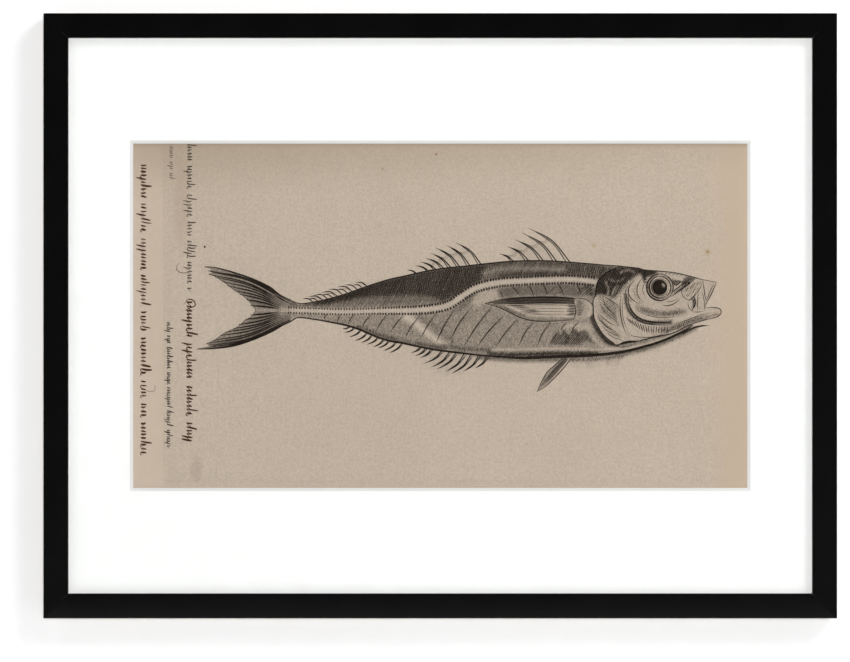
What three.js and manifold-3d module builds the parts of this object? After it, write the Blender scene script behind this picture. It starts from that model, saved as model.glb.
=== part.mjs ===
// A framed print, ready to hang: four mitred black rails, a glass sheet, a bevelled window mat, the printed
// sheet on its backing board, a hardboard back held by steel tabs, and two D-ring hangers.
//
// Units are millimetres. +X is the viewer's right, +Y runs from the front of the picture to the wall and
// +Z is up. The origin is the point midway between the two places where the wall hooks bear on the rings, in
// the plane of the frame's back.
import * as THREE from "three";
import { mergeVertices } from "three/addons/utils/BufferGeometryUtils.js";
import Module from "manifold-3d";

const wasm = await Module();
wasm.setup();

// --- driving dimensions ---

// glass sheet, which sets the size of everything around it
const GLASS_WIDTH = 610;
const GLASS_HEIGHT = 458;
const GLASS_THICKNESS = 2;
const GLASS_EDGE_CLEARANCE = 1; // all round, between the sheet's edge and the rebate wall

// moulding section
const FACE_WIDTH = 20;
const MOULDING_DEPTH = 23;
const LIP_THICKNESS = 7; // from the front face to the rebate seat
const REBATE_WIDTH = 6;
const FRONT_EDGE_RADIUS = 0.8;
const MITRE_GAP = 0.1; // glue line between two rails

// boards and paper, front to back
const MAT_THICKNESS = 2;
const MAT_BORDER_SIDE = 50; // visible border beside the window
const MAT_BORDER_END = 83; // visible border above and below the window
const PRINT_THICKNESS = 0.3;
const PRINT_OVERLAP = 6; // how far the sheet runs behind the mat
const MOUNT_THICKNESS = 1.4;
const BACKBOARD_THICKNESS = 3;
const BOARD_EDGE_CLEARANCE = 1.5; // boards are cut a little smaller than the glass
const LAYER_GAP = 0.1; // air between two stacked layers

// paper hinges that hang the print, and the cloth tape that hinges the mat
const TAPE_THICKNESS = 0.2;
const HINGE_STEM_WIDTH = 25;
const HINGE_STEM_OVERLAP = 15; // pasted to the back of the print
const HINGE_BAR_WIDTH = 50;
const HINGE_BAR_HEIGHT = 18;
const HINGE_SPACING = 300; // between the two hinges
const MAT_TAPE_HEIGHT = 15;
const MAT_TAPE_END_MARGIN = 15;
const MAT_TAPE_TOP_MARGIN = 2;

// steel tabs that hold the back in
const TAB_THICKNESS = 0.5;
const TAB_WIDTH = 7;
const TAB_REACH = 12; // over the backboard
const TAB_DRIVEN = 8; // into the rail
const TAB_POINT = 3; // length of the tapered tip
const TABS_ON_LONG_RAIL = 4;
const TABS_ON_SHORT_RAIL = 3;
const TAB_END_MARGIN = 75; // from a rail's outer end to its first tab
const TAB_CLEARANCE = 0.1;

// V-shaped wedges that pin each mitre
const WEDGE_SHEET = 0.6;
const WEDGE_HEIGHT = 10;
const WEDGE_HALF_SPAN = 3.5;
const WEDGE_LEG_RUN = 3.5;
const WEDGE_RECESS = 0.3;
const WEDGE_CLEARANCE = 0.1;
const WEDGE_OUTER_MARGIN = 5; // along the mitre, from the outer corner to the outer wedge's apex
const WEDGE_INNER_MARGIN = 5.2; // along the mitre, from the inner wedge's open side to the rebate corner

// D-ring hangers
const HOOK_LINE_BELOW_TOP = 110; // where the wall hooks bear, below the frame's top edge
const RING_WIRE_RADIUS = 1;
const RING_HALF_WIDTH = 7; // to the wire's centre
const RING_STRAIGHT_SIDE = 4; // from the bar to where the bow starts
const RING_CORNER_RADIUS = 1.5;
const RING_CLEARANCE = 0.15; // between the bar and the eye that holds it
const RING_EDGE_MARGIN = 0.5; // from the ring to the frame's outer edge
const STRAP_SHEET = 0.8;
const STRAP_WIDTH = 9;
const STRAP_LENGTH = 20; // from the bar's centre to the strap's lower end
const STRAP_STANDOFF = 0.1;
const SCREW_BELOW_BAR = 10;
const SCREW_SHANK_RADIUS = 1.5;
const SCREW_LENGTH = 13; // under the head
const SCREW_TIP = 3;
const SCREW_HEAD_RADIUS = 3.2;
const SCREW_HEAD_HEIGHT = 1.8;
const SCREW_CLEARANCE = 0.2;

// soft bumpers on the lower rail
const BUMPER_RADIUS = 5;
const BUMPER_HEIGHT = 5;
const BUMPER_FLAT_RADIUS = 3;
const BUMPER_FROM_END = 25;
const BUMPER_STANDOFF = 0.1;

const ROUND_SIDES = 16;
const RING_STEPS = 64; // round the loop
const RING_SIDES = 8; // round the wire
const CORNER_STEPS = 4;

// --- sizes that follow ---

const REBATE_OPENING_WIDTH = GLASS_WIDTH + 2 * GLASS_EDGE_CLEARANCE;
const REBATE_OPENING_HEIGHT = GLASS_HEIGHT + 2 * GLASS_EDGE_CLEARANCE;
const BACK_FACE_WIDTH = FACE_WIDTH - REBATE_WIDTH;
const OUTER_WIDTH = REBATE_OPENING_WIDTH + 2 * BACK_FACE_WIDTH;
const OUTER_HEIGHT = REBATE_OPENING_HEIGHT + 2 * BACK_FACE_WIDTH;
const SIGHT_WIDTH = OUTER_WIDTH - 2 * FACE_WIDTH;
const SIGHT_HEIGHT = OUTER_HEIGHT - 2 * FACE_WIDTH;
const BOARD_WIDTH = REBATE_OPENING_WIDTH - 2 * BOARD_EDGE_CLEARANCE;
const BOARD_HEIGHT = REBATE_OPENING_HEIGHT - 2 * BOARD_EDGE_CLEARANCE;

const WINDOW_WIDTH = SIGHT_WIDTH - 2 * MAT_BORDER_SIDE; // at the mat's front face
const WINDOW_HEIGHT = SIGHT_HEIGHT - 2 * MAT_BORDER_END;
const PRINT_WIDTH = WINDOW_WIDTH - 2 * MAT_THICKNESS + 2 * PRINT_OVERLAP;
const PRINT_HEIGHT = WINDOW_HEIGHT - 2 * MAT_THICKNESS + 2 * PRINT_OVERLAP;

// the front of each layer, counted back from the rebate seat
const SEAT_Y = -MOULDING_DEPTH + LIP_THICKNESS;
const GLASS_Y = SEAT_Y + LAYER_GAP;
const MAT_Y = GLASS_Y + GLASS_THICKNESS + LAYER_GAP;
const PRINT_Y = MAT_Y + MAT_THICKNESS + LAYER_GAP;
const HINGE_Y = PRINT_Y + PRINT_THICKNESS + LAYER_GAP;
const MAT_TAPE_Y = PRINT_Y;
const MAT_TAPE_DEPTH = 3 * TAPE_THICKNESS;
const MOUNT_Y = Math.max(HINGE_Y + TAPE_THICKNESS, MAT_TAPE_Y + MAT_TAPE_DEPTH) + LAYER_GAP;
const BACKBOARD_Y = MOUNT_Y + MOUNT_THICKNESS + LAYER_GAP;
const TAB_Y = BACKBOARD_Y + BACKBOARD_THICKNESS + LAYER_GAP;

const MITRE_LENGTH = BACK_FACE_WIDTH * Math.SQRT2;
const WEDGE_APEX = {
  outer: WEDGE_OUTER_MARGIN,
  inner: MITRE_LENGTH - WEDGE_INNER_MARGIN - WEDGE_LEG_RUN,
}; // along the mitre from the outer corner

const FRAME_CENTRE_Z = HOOK_LINE_BELOW_TOP - OUTER_HEIGHT / 2;
const RING_REACH = RING_STRAIGHT_SIDE + RING_HALF_WIDTH; // bar centre to bow centre
const EYE_BORE_RADIUS = RING_WIRE_RADIUS + RING_CLEARANCE;
const EYE_RADIUS = EYE_BORE_RADIUS + STRAP_SHEET;
const BAR_Y = STRAP_STANDOFF + EYE_RADIUS;
const BAR_Z = -(RING_REACH - RING_WIRE_RADIUS); // the hook bears on the inside of the bow, at z 0
const RING_X = OUTER_WIDTH / 2 - RING_EDGE_MARGIN - RING_HALF_WIDTH - RING_WIRE_RADIUS;
const STRAP_PLATE = 2 * STRAP_SHEET;

// --- materials ---

const finish = (color, roughness, metalness = 0) =>
  new THREE.MeshStandardMaterial({ color, roughness, metalness });
const blackWood = finish(0x0c0c0c, 0.5);
const clearGlass = finish(0xf4f8f6, 0.03);
clearGlass.transparent = true;
clearGlass.opacity = 0.2;
const whiteBoard = finish(0xfafafa, 0.9);
const agedPaper = finish(0xbeb1a0, 0.9);
const hingePaper = finish(0xf1ece0, 0.95);
const creamBoard = finish(0xefece2, 0.9);
const hardboard = finish(0x8a6a4a, 0.8);
const zincSteel = finish(0xb4b8bc, 0.35, 1);
const brassPlate = finish(0xc9a45c, 0.3, 1);
const clearRubber = finish(0x4a4a48, 0.6);

// --- solids ---

// A closed geometry as a manifold-3d solid.
function solidOf(geometry) {
  const bare = geometry.clone();
  bare.deleteAttribute("normal");
  bare.deleteAttribute("uv");
  const merged = mergeVertices(bare, 1e-4);
  return new wasm.Manifold(
    new wasm.Mesh({
      numProp: 3,
      vertProperties: merged.attributes.position.array,
      triVerts: new Uint32Array(merged.index.array),
    }),
  );
}

// A manifold-3d solid as a geometry.
function geometryOf(solid) {
  const mesh = solid.getMesh();
  const geometry = new THREE.BufferGeometry();
  geometry.setAttribute("position", new THREE.BufferAttribute(new Float32Array(mesh.vertProperties), 3));
  geometry.setIndex(new THREE.BufferAttribute(new Uint32Array(mesh.triVerts), 1));
  geometry.computeVertexNormals();
  return geometry;
}

// A geometry less the geometries in cutters.
function cutBy(geometry, cutters) {
  return geometryOf(cutters.reduce((left, cutter) => left.subtract(solidOf(cutter)), solidOf(geometry)));
}

// A box between two corners.
function block(low, high) {
  const size = high.map((value, axis) => value - low[axis]);
  const middle = high.map((value, axis) => (value + low[axis]) / 2);
  return new THREE.BoxGeometry(...size).translate(...middle);
}

// An outline in the X-Z plane given as [x, z] points, made solid from y to y + depth.
function plate(outline, y, depth) {
  const shape = new THREE.Shape(outline.map(([x, z]) => new THREE.Vector2(x, z)));
  return new THREE.ExtrudeGeometry(shape, { depth, bevelEnabled: false })
    .rotateX(Math.PI / 2)
    .translate(0, y + depth, 0);
}

// A shape drawn on Y and Z, made solid to half of width on each side of x 0.
function acrossX(shape, width) {
  const toYZ = new THREE.Matrix4().set(0, 0, 1, -width / 2, 1, 0, 0, 0, 0, 1, 0, 0, 0, 0, 0, 1);
  const options = { depth: width, bevelEnabled: false, curveSegments: ROUND_SIDES };
  return new THREE.ExtrudeGeometry(shape, options).applyMatrix4(toYZ);
}

// Two rectangular loops inside one another at the front and at the back: a board with a window in it.
// Each loop is { width, height }, and the four loops share one centre.
function windowedBoard({ outer, front, back, y, thickness }) {
  const corners = ({ width, height }, depth) =>
    [[-1, -1], [1, -1], [1, 1], [-1, 1]].map(([sx, sz]) => [(sx * width) / 2, depth, (sz * height) / 2]);
  const loops = [
    corners(outer, y),
    corners(front, y),
    corners(back, y + thickness),
    corners(outer, y + thickness),
  ];
  const triangles = [];
  loops.forEach((loop, index) => {
    const next = loops[(index + 1) % loops.length];
    loop.forEach((corner, side) => {
      const ahead = (side + 1) % loop.length;
      triangles.push(corner, loop[ahead], next[ahead], corner, next[ahead], next[side]);
    });
  });
  const geometry = new THREE.BufferGeometry();
  geometry.setAttribute("position", new THREE.Float32BufferAttribute(triangles.flat(), 3));
  geometry.computeVertexNormals();
  return geometry;
}

// The moulding's section as [inward, y] points: flat front with eased edges, and a rebate behind the lip.
function mouldingSection() {
  const front = -MOULDING_DEPTH;
  const r = FRONT_EDGE_RADIUS;
  const path = new THREE.Path();
  path.moveTo(0, 0);
  path.lineTo(0, front + r);
  path.absarc(r, front + r, r, Math.PI, 1.5 * Math.PI, false);
  path.lineTo(FACE_WIDTH - r, front);
  path.absarc(FACE_WIDTH - r, front + r, r, 1.5 * Math.PI, 2 * Math.PI, false);
  path.lineTo(FACE_WIDTH, SEAT_Y);
  path.lineTo(BACK_FACE_WIDTH, SEAT_Y);
  path.lineTo(BACK_FACE_WIDTH, 0);
  return path.getPoints(CORNER_STEPS).filter((p, i, all) => !i || p.distanceTo(all[i - 1]) > 1e-6);
}

// A rail along X with mitred ends. Its outer edge lies at z 0 and its inward side is +Z.
function mitredRail(length) {
  const section = mouldingSection();
  const half = (inward) => length / 2 - inward - MITRE_GAP / Math.SQRT2;
  const place = (p, side) => [side * half(p.x), p.y, p.x];
  const triangles = [];
  section.forEach((p, index) => {
    const q = section[(index + 1) % section.length];
    const [a, b, c, d] = [place(p, -1), place(q, -1), place(q, 1), place(p, 1)];
    triangles.push(a, c, b, a, d, c);
  });
  THREE.ShapeUtils.triangulateShape(section, []).forEach(([i, j, k]) => {
    const [p, q, r] = [section[i], section[j], section[k]];
    triangles.push(place(p, -1), place(q, -1), place(r, -1), place(p, 1), place(r, 1), place(q, 1));
  });
  const geometry = new THREE.BufferGeometry();
  geometry.setAttribute("position", new THREE.Float32BufferAttribute(triangles.flat(), 3));
  return geometry;
}

// A V of bent sheet across the mitre at a rail's end. side is -1 or 1 for the rail's low or high x end, and
// grow widens the sheet for the pocket.
function mitreWedge(length, side, apex, grow = 0) {
  // along the mitre from the outer corner, and across it
  const toRail = (along, across) => {
    const inward = (along - across) / Math.SQRT2;
    const fromEnd = (along + across) / Math.SQRT2;
    return [side * (length / 2 - fromEnd), inward];
  };
  const slope = Math.hypot(WEDGE_LEG_RUN, WEDGE_HALF_SPAN) / WEDGE_HALF_SPAN;
  const half = ((WEDGE_SHEET + 2 * grow) / 2) * slope;
  const span = WEDGE_HALF_SPAN + grow;
  const run = (WEDGE_LEG_RUN * span) / WEDGE_HALF_SPAN;
  const outline = [
    toRail(apex - half, 0),
    toRail(apex + run - half, span),
    toRail(apex + run + half, span),
    toRail(apex + half, 0),
    toRail(apex + run + half, -span),
    toRail(apex + run - half, -span),
  ];
  const depth = WEDGE_HEIGHT + WEDGE_RECESS + grow;
  return grow ? plate(outline, -depth, depth + 1) : plate(outline, -depth, WEDGE_HEIGHT);
}

// A steel tab standing in a rail's rebate wall at x: a flat strip with a tapered tip driven into the wood.
function railTab(x) {
  const [tip, wall, end] = [BACK_FACE_WIDTH - TAB_DRIVEN, BACK_FACE_WIDTH, BACK_FACE_WIDTH + TAB_REACH];
  const half = TAB_WIDTH / 2;
  const outline = [
    [x - half / 3, tip],
    [x + half / 3, tip],
    [x + half, tip + TAB_POINT],
    [x + half, wall],
    [x + half, end],
    [x - half, end],
    [x - half, tip + TAB_POINT],
  ];
  return plate(outline, TAB_Y, TAB_THICKNESS);
}

// The slot that a tab is driven into.
function tabSlot(x) {
  const half = TAB_WIDTH / 2 + TAB_CLEARANCE;
  return block(
    [x - half, TAB_Y - TAB_CLEARANCE, BACK_FACE_WIDTH - TAB_DRIVEN - TAB_CLEARANCE],
    [x + half, TAB_Y + TAB_THICKNESS + TAB_CLEARANCE, BACK_FACE_WIDTH + 1],
  );
}

// Where the tabs stand along a rail.
function tabPlaces(length, count) {
  const span = length - 2 * TAB_END_MARGIN;
  return Array.from({ length: count }, (_, i) => -span / 2 + (span * i) / (count - 1));
}

// A body turned about an axis along Y, from [radius, y] points that start and end on the axis.
function turnedAlongY(points) {
  return new THREE.LatheGeometry(points.map(([r, y]) => new THREE.Vector2(r, y)), ROUND_SIDES);
}

function pilotHole(x, z) {
  const r = SCREW_SHANK_RADIUS + SCREW_CLEARANCE;
  const depth = STRAP_STANDOFF + SCREW_LENGTH - STRAP_PLATE + SCREW_CLEARANCE;
  return turnedAlongY([[0, -depth], [r, -depth], [r, 1], [0, 1]]).translate(x, 0, z);
}

// --- pieces, each a named mesh ---

function piece(name, geometry, material, position = [0, 0, 0]) {
  const mesh = new THREE.Mesh(geometry, material);
  mesh.name = name;
  mesh.position.set(...position);
  return mesh;
}

// A rail with everything that is driven into it, in a group turned to its side of the frame.
function railGroup({ side, length, distance, turn, tabs, wedgeEnd, drilled }) {
  const group = new THREE.Group();
  group.rotation.y = turn;
  const away = new THREE.Vector3(0, 0, -distance).applyAxisAngle(new THREE.Vector3(0, 1, 0), turn);
  group.position.set(away.x, 0, away.z);
  const places = tabPlaces(length, tabs);
  const cutters = places.map(tabSlot);
  for (const apex of Object.values(WEDGE_APEX))
    for (const end of [-1, 1]) cutters.push(mitreWedge(length, end, apex, WEDGE_CLEARANCE));
  if (drilled) cutters.push(pilotHole(...drilled));
  group.add(piece("rail_" + side, cutBy(mitredRail(length), cutters), blackWood));
  places.forEach((x, i) => group.add(piece("tab_" + side + "_" + (i + 1), railTab(x), zincSteel)));
  for (const [which, apex] of Object.entries(WEDGE_APEX))
    group.add(piece("mitre_wedge_" + wedgeEnd + "_" + which, mitreWedge(length, 1, apex), zincSteel));
  return group;
}

// The hangers sit on the side rails, so those two are drilled for the screws.
function frameRails() {
  const group = new THREE.Group();
  group.position.z = FRAME_CENTRE_Z;
  const screwHeight = BAR_Z - SCREW_BELOW_BAR - FRAME_CENTRE_Z;
  const screwInward = OUTER_WIDTH / 2 - RING_X;
  const long = { length: OUTER_WIDTH, distance: OUTER_HEIGHT / 2, tabs: TABS_ON_LONG_RAIL };
  const short = { length: OUTER_HEIGHT, distance: OUTER_WIDTH / 2, tabs: TABS_ON_SHORT_RAIL };
  const right = { turn: -Math.PI / 2, wedgeEnd: "top_right", drilled: [screwHeight, screwInward] };
  const left = { turn: Math.PI / 2, wedgeEnd: "bottom_left", drilled: [-screwHeight, screwInward] };
  group.add(
    railGroup({ side: "bottom", ...long, turn: 0, wedgeEnd: "bottom_right" }),
    railGroup({ side: "right", ...short, ...right }),
    railGroup({ side: "top", ...long, turn: Math.PI, wedgeEnd: "top_left" }),
    railGroup({ side: "left", ...short, ...left }),
  );
  return group;
}

const sheet = (width, height, y, thickness) =>
  block([-width / 2, y, -height / 2], [width / 2, y + thickness, height / 2]);

// A T of thin paper: its stem is pasted behind the print's top edge and its bar to the mount above.
function printHinge() {
  const top = PRINT_HEIGHT / 2;
  const [stem, bar] = [HINGE_STEM_WIDTH / 2, HINGE_BAR_WIDTH / 2];
  const outline = [
    [-stem, top - HINGE_STEM_OVERLAP],
    [stem, top - HINGE_STEM_OVERLAP],
    [stem, top],
    [bar, top],
    [bar, top + HINGE_BAR_HEIGHT],
    [-bar, top + HINGE_BAR_HEIGHT],
    [-bar, top],
    [-stem, top],
  ];
  return plate(outline, HINGE_Y, TAPE_THICKNESS);
}

// Cloth tape folded once along its top edge, between the mat and the mount.
function matTape() {
  const t = TAPE_THICKNESS;
  const top = BOARD_HEIGHT / 2 - MAT_TAPE_TOP_MARGIN;
  const foot = top - MAT_TAPE_HEIGHT;
  const section = [
    [0, foot],
    [t, foot],
    [t, top - t],
    [2 * t, top - t],
    [2 * t, foot],
    [3 * t, foot],
    [3 * t, top],
    [0, top],
  ];
  const shape = new THREE.Shape(section.map(([y, z]) => new THREE.Vector2(y, z)));
  const width = BOARD_WIDTH - 2 * MAT_TAPE_END_MARGIN;
  return acrossX(shape, width).translate(0, MAT_TAPE_Y, 0);
}

// What lies in the rebate, from the glass to the backboard.
function picturePack() {
  const group = new THREE.Group();
  group.position.z = FRAME_CENTRE_Z;
  const mat = windowedBoard({
    outer: { width: BOARD_WIDTH, height: BOARD_HEIGHT },
    front: { width: WINDOW_WIDTH, height: WINDOW_HEIGHT },
    back: { width: WINDOW_WIDTH - 2 * MAT_THICKNESS, height: WINDOW_HEIGHT - 2 * MAT_THICKNESS },
    y: MAT_Y,
    thickness: MAT_THICKNESS,
  });
  group.add(
    piece("glass_sheet", sheet(GLASS_WIDTH, GLASS_HEIGHT, GLASS_Y, GLASS_THICKNESS), clearGlass),
    piece("window_mat", mat, whiteBoard),
    piece("print_sheet", sheet(PRINT_WIDTH, PRINT_HEIGHT, PRINT_Y, PRINT_THICKNESS), agedPaper),
    piece("print_hinge_left", printHinge(), hingePaper, [-HINGE_SPACING / 2, 0, 0]),
    piece("print_hinge_right", printHinge(), hingePaper, [HINGE_SPACING / 2, 0, 0]),
    piece("mat_hinge_tape", matTape(), hingePaper),
    piece("mount_board", sheet(BOARD_WIDTH, BOARD_HEIGHT, MOUNT_Y, MOUNT_THICKNESS), creamBoard),
    piece("backboard", sheet(BOARD_WIDTH, BOARD_HEIGHT, BACKBOARD_Y, BACKBOARD_THICKNESS), hardboard),
  );
  return group;
}

// A D of round wire lying in the X-Z plane, its straight bar on the x axis.
function dRing() {
  const [w, c, s] = [RING_HALF_WIDTH, RING_CORNER_RADIUS, RING_STRAIGHT_SIDE];
  const path = new THREE.Path();
  path.moveTo(0, 0);
  path.lineTo(w - c, 0);
  path.absarc(w - c, c, c, -Math.PI / 2, 0, false);
  path.lineTo(w, s);
  path.absarc(0, s, w, 0, Math.PI, false);
  path.lineTo(-w, c);
  path.absarc(c - w, c, c, Math.PI, 1.5 * Math.PI, false);
  path.lineTo(0, 0);
  const loop = new THREE.Curve();
  loop.getPoint = (t, target = new THREE.Vector3()) => {
    const p = path.getPoint(t);
    return target.set(p.x, 0, p.y);
  };
  return new THREE.TubeGeometry(loop, RING_STEPS, RING_WIRE_RADIUS, RING_SIDES, true);
}

// A strap of sheet folded round the ring's bar: a doubled plate below and a round eye at the top.
function ringStrap() {
  const shape = new THREE.Shape();
  const joinAngle = Math.asin((EYE_RADIUS - STRAP_PLATE) / EYE_RADIUS);
  const [foot, back] = [-STRAP_LENGTH, -EYE_RADIUS];
  shape.moveTo(back, foot);
  shape.lineTo(back + STRAP_PLATE, foot);
  shape.lineTo(back + STRAP_PLATE, -EYE_RADIUS * Math.cos(joinAngle));
  shape.absarc(0, 0, EYE_RADIUS, -Math.PI / 2 - joinAngle, Math.PI, false);
  const bore = new THREE.Path().absarc(0, 0, EYE_BORE_RADIUS, 0, 2 * Math.PI, true);
  shape.holes.push(bore);
  const r = SCREW_SHANK_RADIUS + SCREW_CLEARANCE;
  const [into, out] = [back - 1, back + STRAP_PLATE + 1];
  const hole = turnedAlongY([[0, into], [r, into], [r, out], [0, out]]).translate(0, 0, -SCREW_BELOW_BAR);
  return cutBy(acrossX(shape, STRAP_WIDTH), [hole]);
}

// A pan-head wood screw: its head is on the wall side and its shank runs towards -Y.
function strapScrew() {
  const under = STRAP_STANDOFF + STRAP_PLATE + LAYER_GAP;
  const end = under - SCREW_LENGTH;
  return turnedAlongY([
    [0, end],
    [SCREW_SHANK_RADIUS, end + SCREW_TIP],
    [SCREW_SHANK_RADIUS, under],
    [SCREW_HEAD_RADIUS, under],
    [SCREW_HEAD_RADIUS, under + 0.4 * SCREW_HEAD_HEIGHT],
    [0.75 * SCREW_HEAD_RADIUS, under + 0.9 * SCREW_HEAD_HEIGHT],
    [0.4 * SCREW_HEAD_RADIUS, under + SCREW_HEAD_HEIGHT],
    [0, under + SCREW_HEAD_HEIGHT],
  ]);
}

function hangers() {
  const group = new THREE.Group();
  for (const [side, sign] of [["left", -1], ["right", 1]]) {
    const hanger = new THREE.Group();
    hanger.position.set(sign * RING_X, 0, BAR_Z);
    hanger.add(
      piece("hanger_strap_" + side, ringStrap(), brassPlate, [0, BAR_Y, 0]),
      piece("hanger_ring_" + side, dRing(), brassPlate, [0, BAR_Y, 0]),
      piece("hanger_screw_" + side, strapScrew(), brassPlate, [0, 0, -SCREW_BELOW_BAR]),
    );
    group.add(hanger);
  }
  return group;
}

// A domed stud of soft plastic with a flat top, which keeps the frame off the wall.
function bumper() {
  const [foot, top] = [BUMPER_STANDOFF, BUMPER_STANDOFF + BUMPER_HEIGHT];
  return turnedAlongY([
    [0, foot],
    [BUMPER_RADIUS, foot],
    [BUMPER_RADIUS, foot + 0.3 * BUMPER_HEIGHT],
    [0.92 * BUMPER_RADIUS, foot + 0.6 * BUMPER_HEIGHT],
    [0.75 * BUMPER_RADIUS, foot + 0.85 * BUMPER_HEIGHT],
    [BUMPER_FLAT_RADIUS, top],
    [0, top],
  ]);
}

function wallBumpers() {
  const group = new THREE.Group();
  const z = FRAME_CENTRE_Z - OUTER_HEIGHT / 2 + BACK_FACE_WIDTH / 2;
  const x = OUTER_WIDTH / 2 - BUMPER_FROM_END;
  group.add(
    piece("wall_bumper_left", bumper(), clearRubber, [-x, 0, z]),
    piece("wall_bumper_right", bumper(), clearRubber, [x, 0, z]),
  );
  return group;
}

const framedPrint = new THREE.Group();
framedPrint.add(frameRails(), picturePack(), hangers(), wallBumpers());

export default framedPrint;
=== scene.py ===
"""The looks of a framed engraving of a fish: black wood rails, glass, a bevelled white mat, an old printed
sheet with the fish drawn in raised ink lines, and the boards, tabs and hangers behind."""

import math

import bmesh
import bpy
import numpy as np
from mathutils import Matrix, Vector
from mathutils.geometry import delaunay_2d_cdt
from mathutils.kdtree import KDTree


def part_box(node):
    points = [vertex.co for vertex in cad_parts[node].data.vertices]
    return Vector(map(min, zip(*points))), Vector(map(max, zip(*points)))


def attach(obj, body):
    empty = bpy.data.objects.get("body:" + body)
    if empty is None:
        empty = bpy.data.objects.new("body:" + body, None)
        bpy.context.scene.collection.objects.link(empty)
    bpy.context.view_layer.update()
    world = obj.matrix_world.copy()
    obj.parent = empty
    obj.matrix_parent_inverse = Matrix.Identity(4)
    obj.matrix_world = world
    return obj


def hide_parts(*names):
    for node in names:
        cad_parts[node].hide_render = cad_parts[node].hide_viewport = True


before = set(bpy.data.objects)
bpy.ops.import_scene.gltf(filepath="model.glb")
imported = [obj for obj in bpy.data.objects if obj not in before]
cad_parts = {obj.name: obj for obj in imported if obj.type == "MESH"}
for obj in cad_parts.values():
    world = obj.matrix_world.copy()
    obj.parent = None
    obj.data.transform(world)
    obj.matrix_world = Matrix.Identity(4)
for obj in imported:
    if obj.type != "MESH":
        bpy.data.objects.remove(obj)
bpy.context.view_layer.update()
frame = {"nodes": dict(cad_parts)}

bl_info = {
    "name": "Framed Fish Engraving",
    "version": (1, 0, 0),
    "blender": (4, 5, 0),
    "location": "View3D > Sidebar > Framed Print",
    "description": "Builds a framed engraving of a fish, piece by piece, round its fixed frame",
    "category": "Add Mesh",
}

MM = 0.001
WINDOW_CORNERS_WITHIN = 0.28  # from the middle: past the mat's opening, short of its outer edge
MOUTH_DEPTH = 0.2 * MM  # the mat's corners that lie this near its face are its bevel's front ones
WEDGE_HALF_SHEET = 0.3 * MM
SCREW_HEAD_HEIGHT = 1.8 * MM
VIEW_WIDTH = 0.6853  # across the picture plane, for the camera
CAMERA_ASIDE = -12.3 * MM  # of the window's middle, both to the side and down

# --- places, from the frame ---

OUTER_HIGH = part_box("rail_right")[1]
FRAME_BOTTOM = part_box("rail_bottom")[0].z
FRAME_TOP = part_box("rail_top")[1].z
SEAT_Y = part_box("glass_sheet")[0].y - 0.1 * MM
MAT_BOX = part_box("window_mat")
PAPER_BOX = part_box("print_sheet")
PAPER_Y = PAPER_BOX[0].y  # the printed face
CENTRE_Z = (MAT_BOX[0].z + MAT_BOX[1].z) / 2  # of the window and of the drawing
WALL_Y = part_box("wall_bumper_left")[1].y

# --- small tools ---


def link(thing):
    """The object, added to the scene."""
    bpy.context.scene.collection.objects.link(thing)
    return thing


def shaded(mesh, angle=30):
    """The mesh, shown smooth except over edges that turn more than angle degrees."""
    mesh.polygons.foreach_set("use_smooth", [True] * len(mesh.polygons))
    mesh.set_sharp_from_angle(angle=math.radians(angle))
    return mesh


def finish_piece(name, mesh, materials=(), replaces=(), body="picture"):
    """A finished piece: its mesh in an object of its own, with its materials, riding on its body."""
    piece = link(bpy.data.objects.new(name, mesh))
    for material in materials:
        mesh.materials.append(material)
    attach(piece, body)
    if replaces:
        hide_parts(*replaces)
    return piece


def joined_copy(*nodes):
    """The CAD nodes' surfaces in one bmesh, with their loose triangles joined and flat faces made whole."""
    shape = bmesh.new()
    for node in nodes:
        shape.from_mesh(frame["nodes"][node].data)
    for owner in (shape.loops.layers.float_vector, shape.loops.layers.uv):
        for layer in list(owner):
            owner.remove(layer)
    bmesh.ops.remove_doubles(shape, verts=shape.verts, dist=1e-6)
    bmesh.ops.dissolve_limit(shape, angle_limit=math.radians(0.5), verts=shape.verts, edges=shape.edges)
    return shape


def eased(shape, width, segments=2, angle=40):
    """Rounds every edge of a bmesh that turns more than angle degrees."""
    limit = math.radians(angle)
    sharp = [e for e in shape.edges if len(e.link_faces) == 2 and e.calc_face_angle() > limit]
    bmesh.ops.bevel(
        shape, geom=sharp, offset=width, segments=segments, profile=0.5, affect="EDGES", clamp_overlap=True
    )
    return shape


def to_mesh(shape, name):
    """The mesh of a bmesh, which is then freed."""
    mesh = bpy.data.meshes.new(name)
    shape.to_mesh(mesh)
    shape.free()
    return mesh


def mesh_from(name, points, faces):
    """A mesh from its corners and faces, with its normals made to point outwards."""
    mesh = bpy.data.meshes.new(name)
    mesh.from_pydata([tuple(map(float, p)) for p in points], [], [tuple(map(int, f)) for f in faces])
    shape = bmesh.new()
    shape.from_mesh(mesh)
    bmesh.ops.recalc_face_normals(shape, faces=shape.faces)
    shape.to_mesh(mesh)
    shape.free()
    return mesh


def ring_stack(rings, closed=False):
    """The faces between rings of equally many corners, with end caps where the stack isn't closed."""
    count = len(rings[0])
    faces = []
    for r in range(len(rings) if closed else len(rings) - 1):
        here, there = r * count, (r + 1) % len(rings) * count
        for i in range(count):
            j = (i + 1) % count
            faces.append((here + i, here + j, there + j, there + i))
    if not closed:
        faces.append(tuple(range(count)))
        faces.append(tuple((len(rings) - 1) * count + i for i in range(count)))
    return faces


def turned(name, profile, centre, sides=48):
    """A body turned about an axis along Y through centre, from (radius, y) points off the axis."""
    rings = []
    for radius, y in profile:
        angles = [2 * math.pi * i / sides for i in range(sides)]
        rings.append([(centre.x + radius * math.cos(a), y,
            centre.z + radius * math.sin(a)) for a in angles])
    return mesh_from(name, [p for ring in rings for p in ring], ring_stack(rings))


# --- node trees ---


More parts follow.
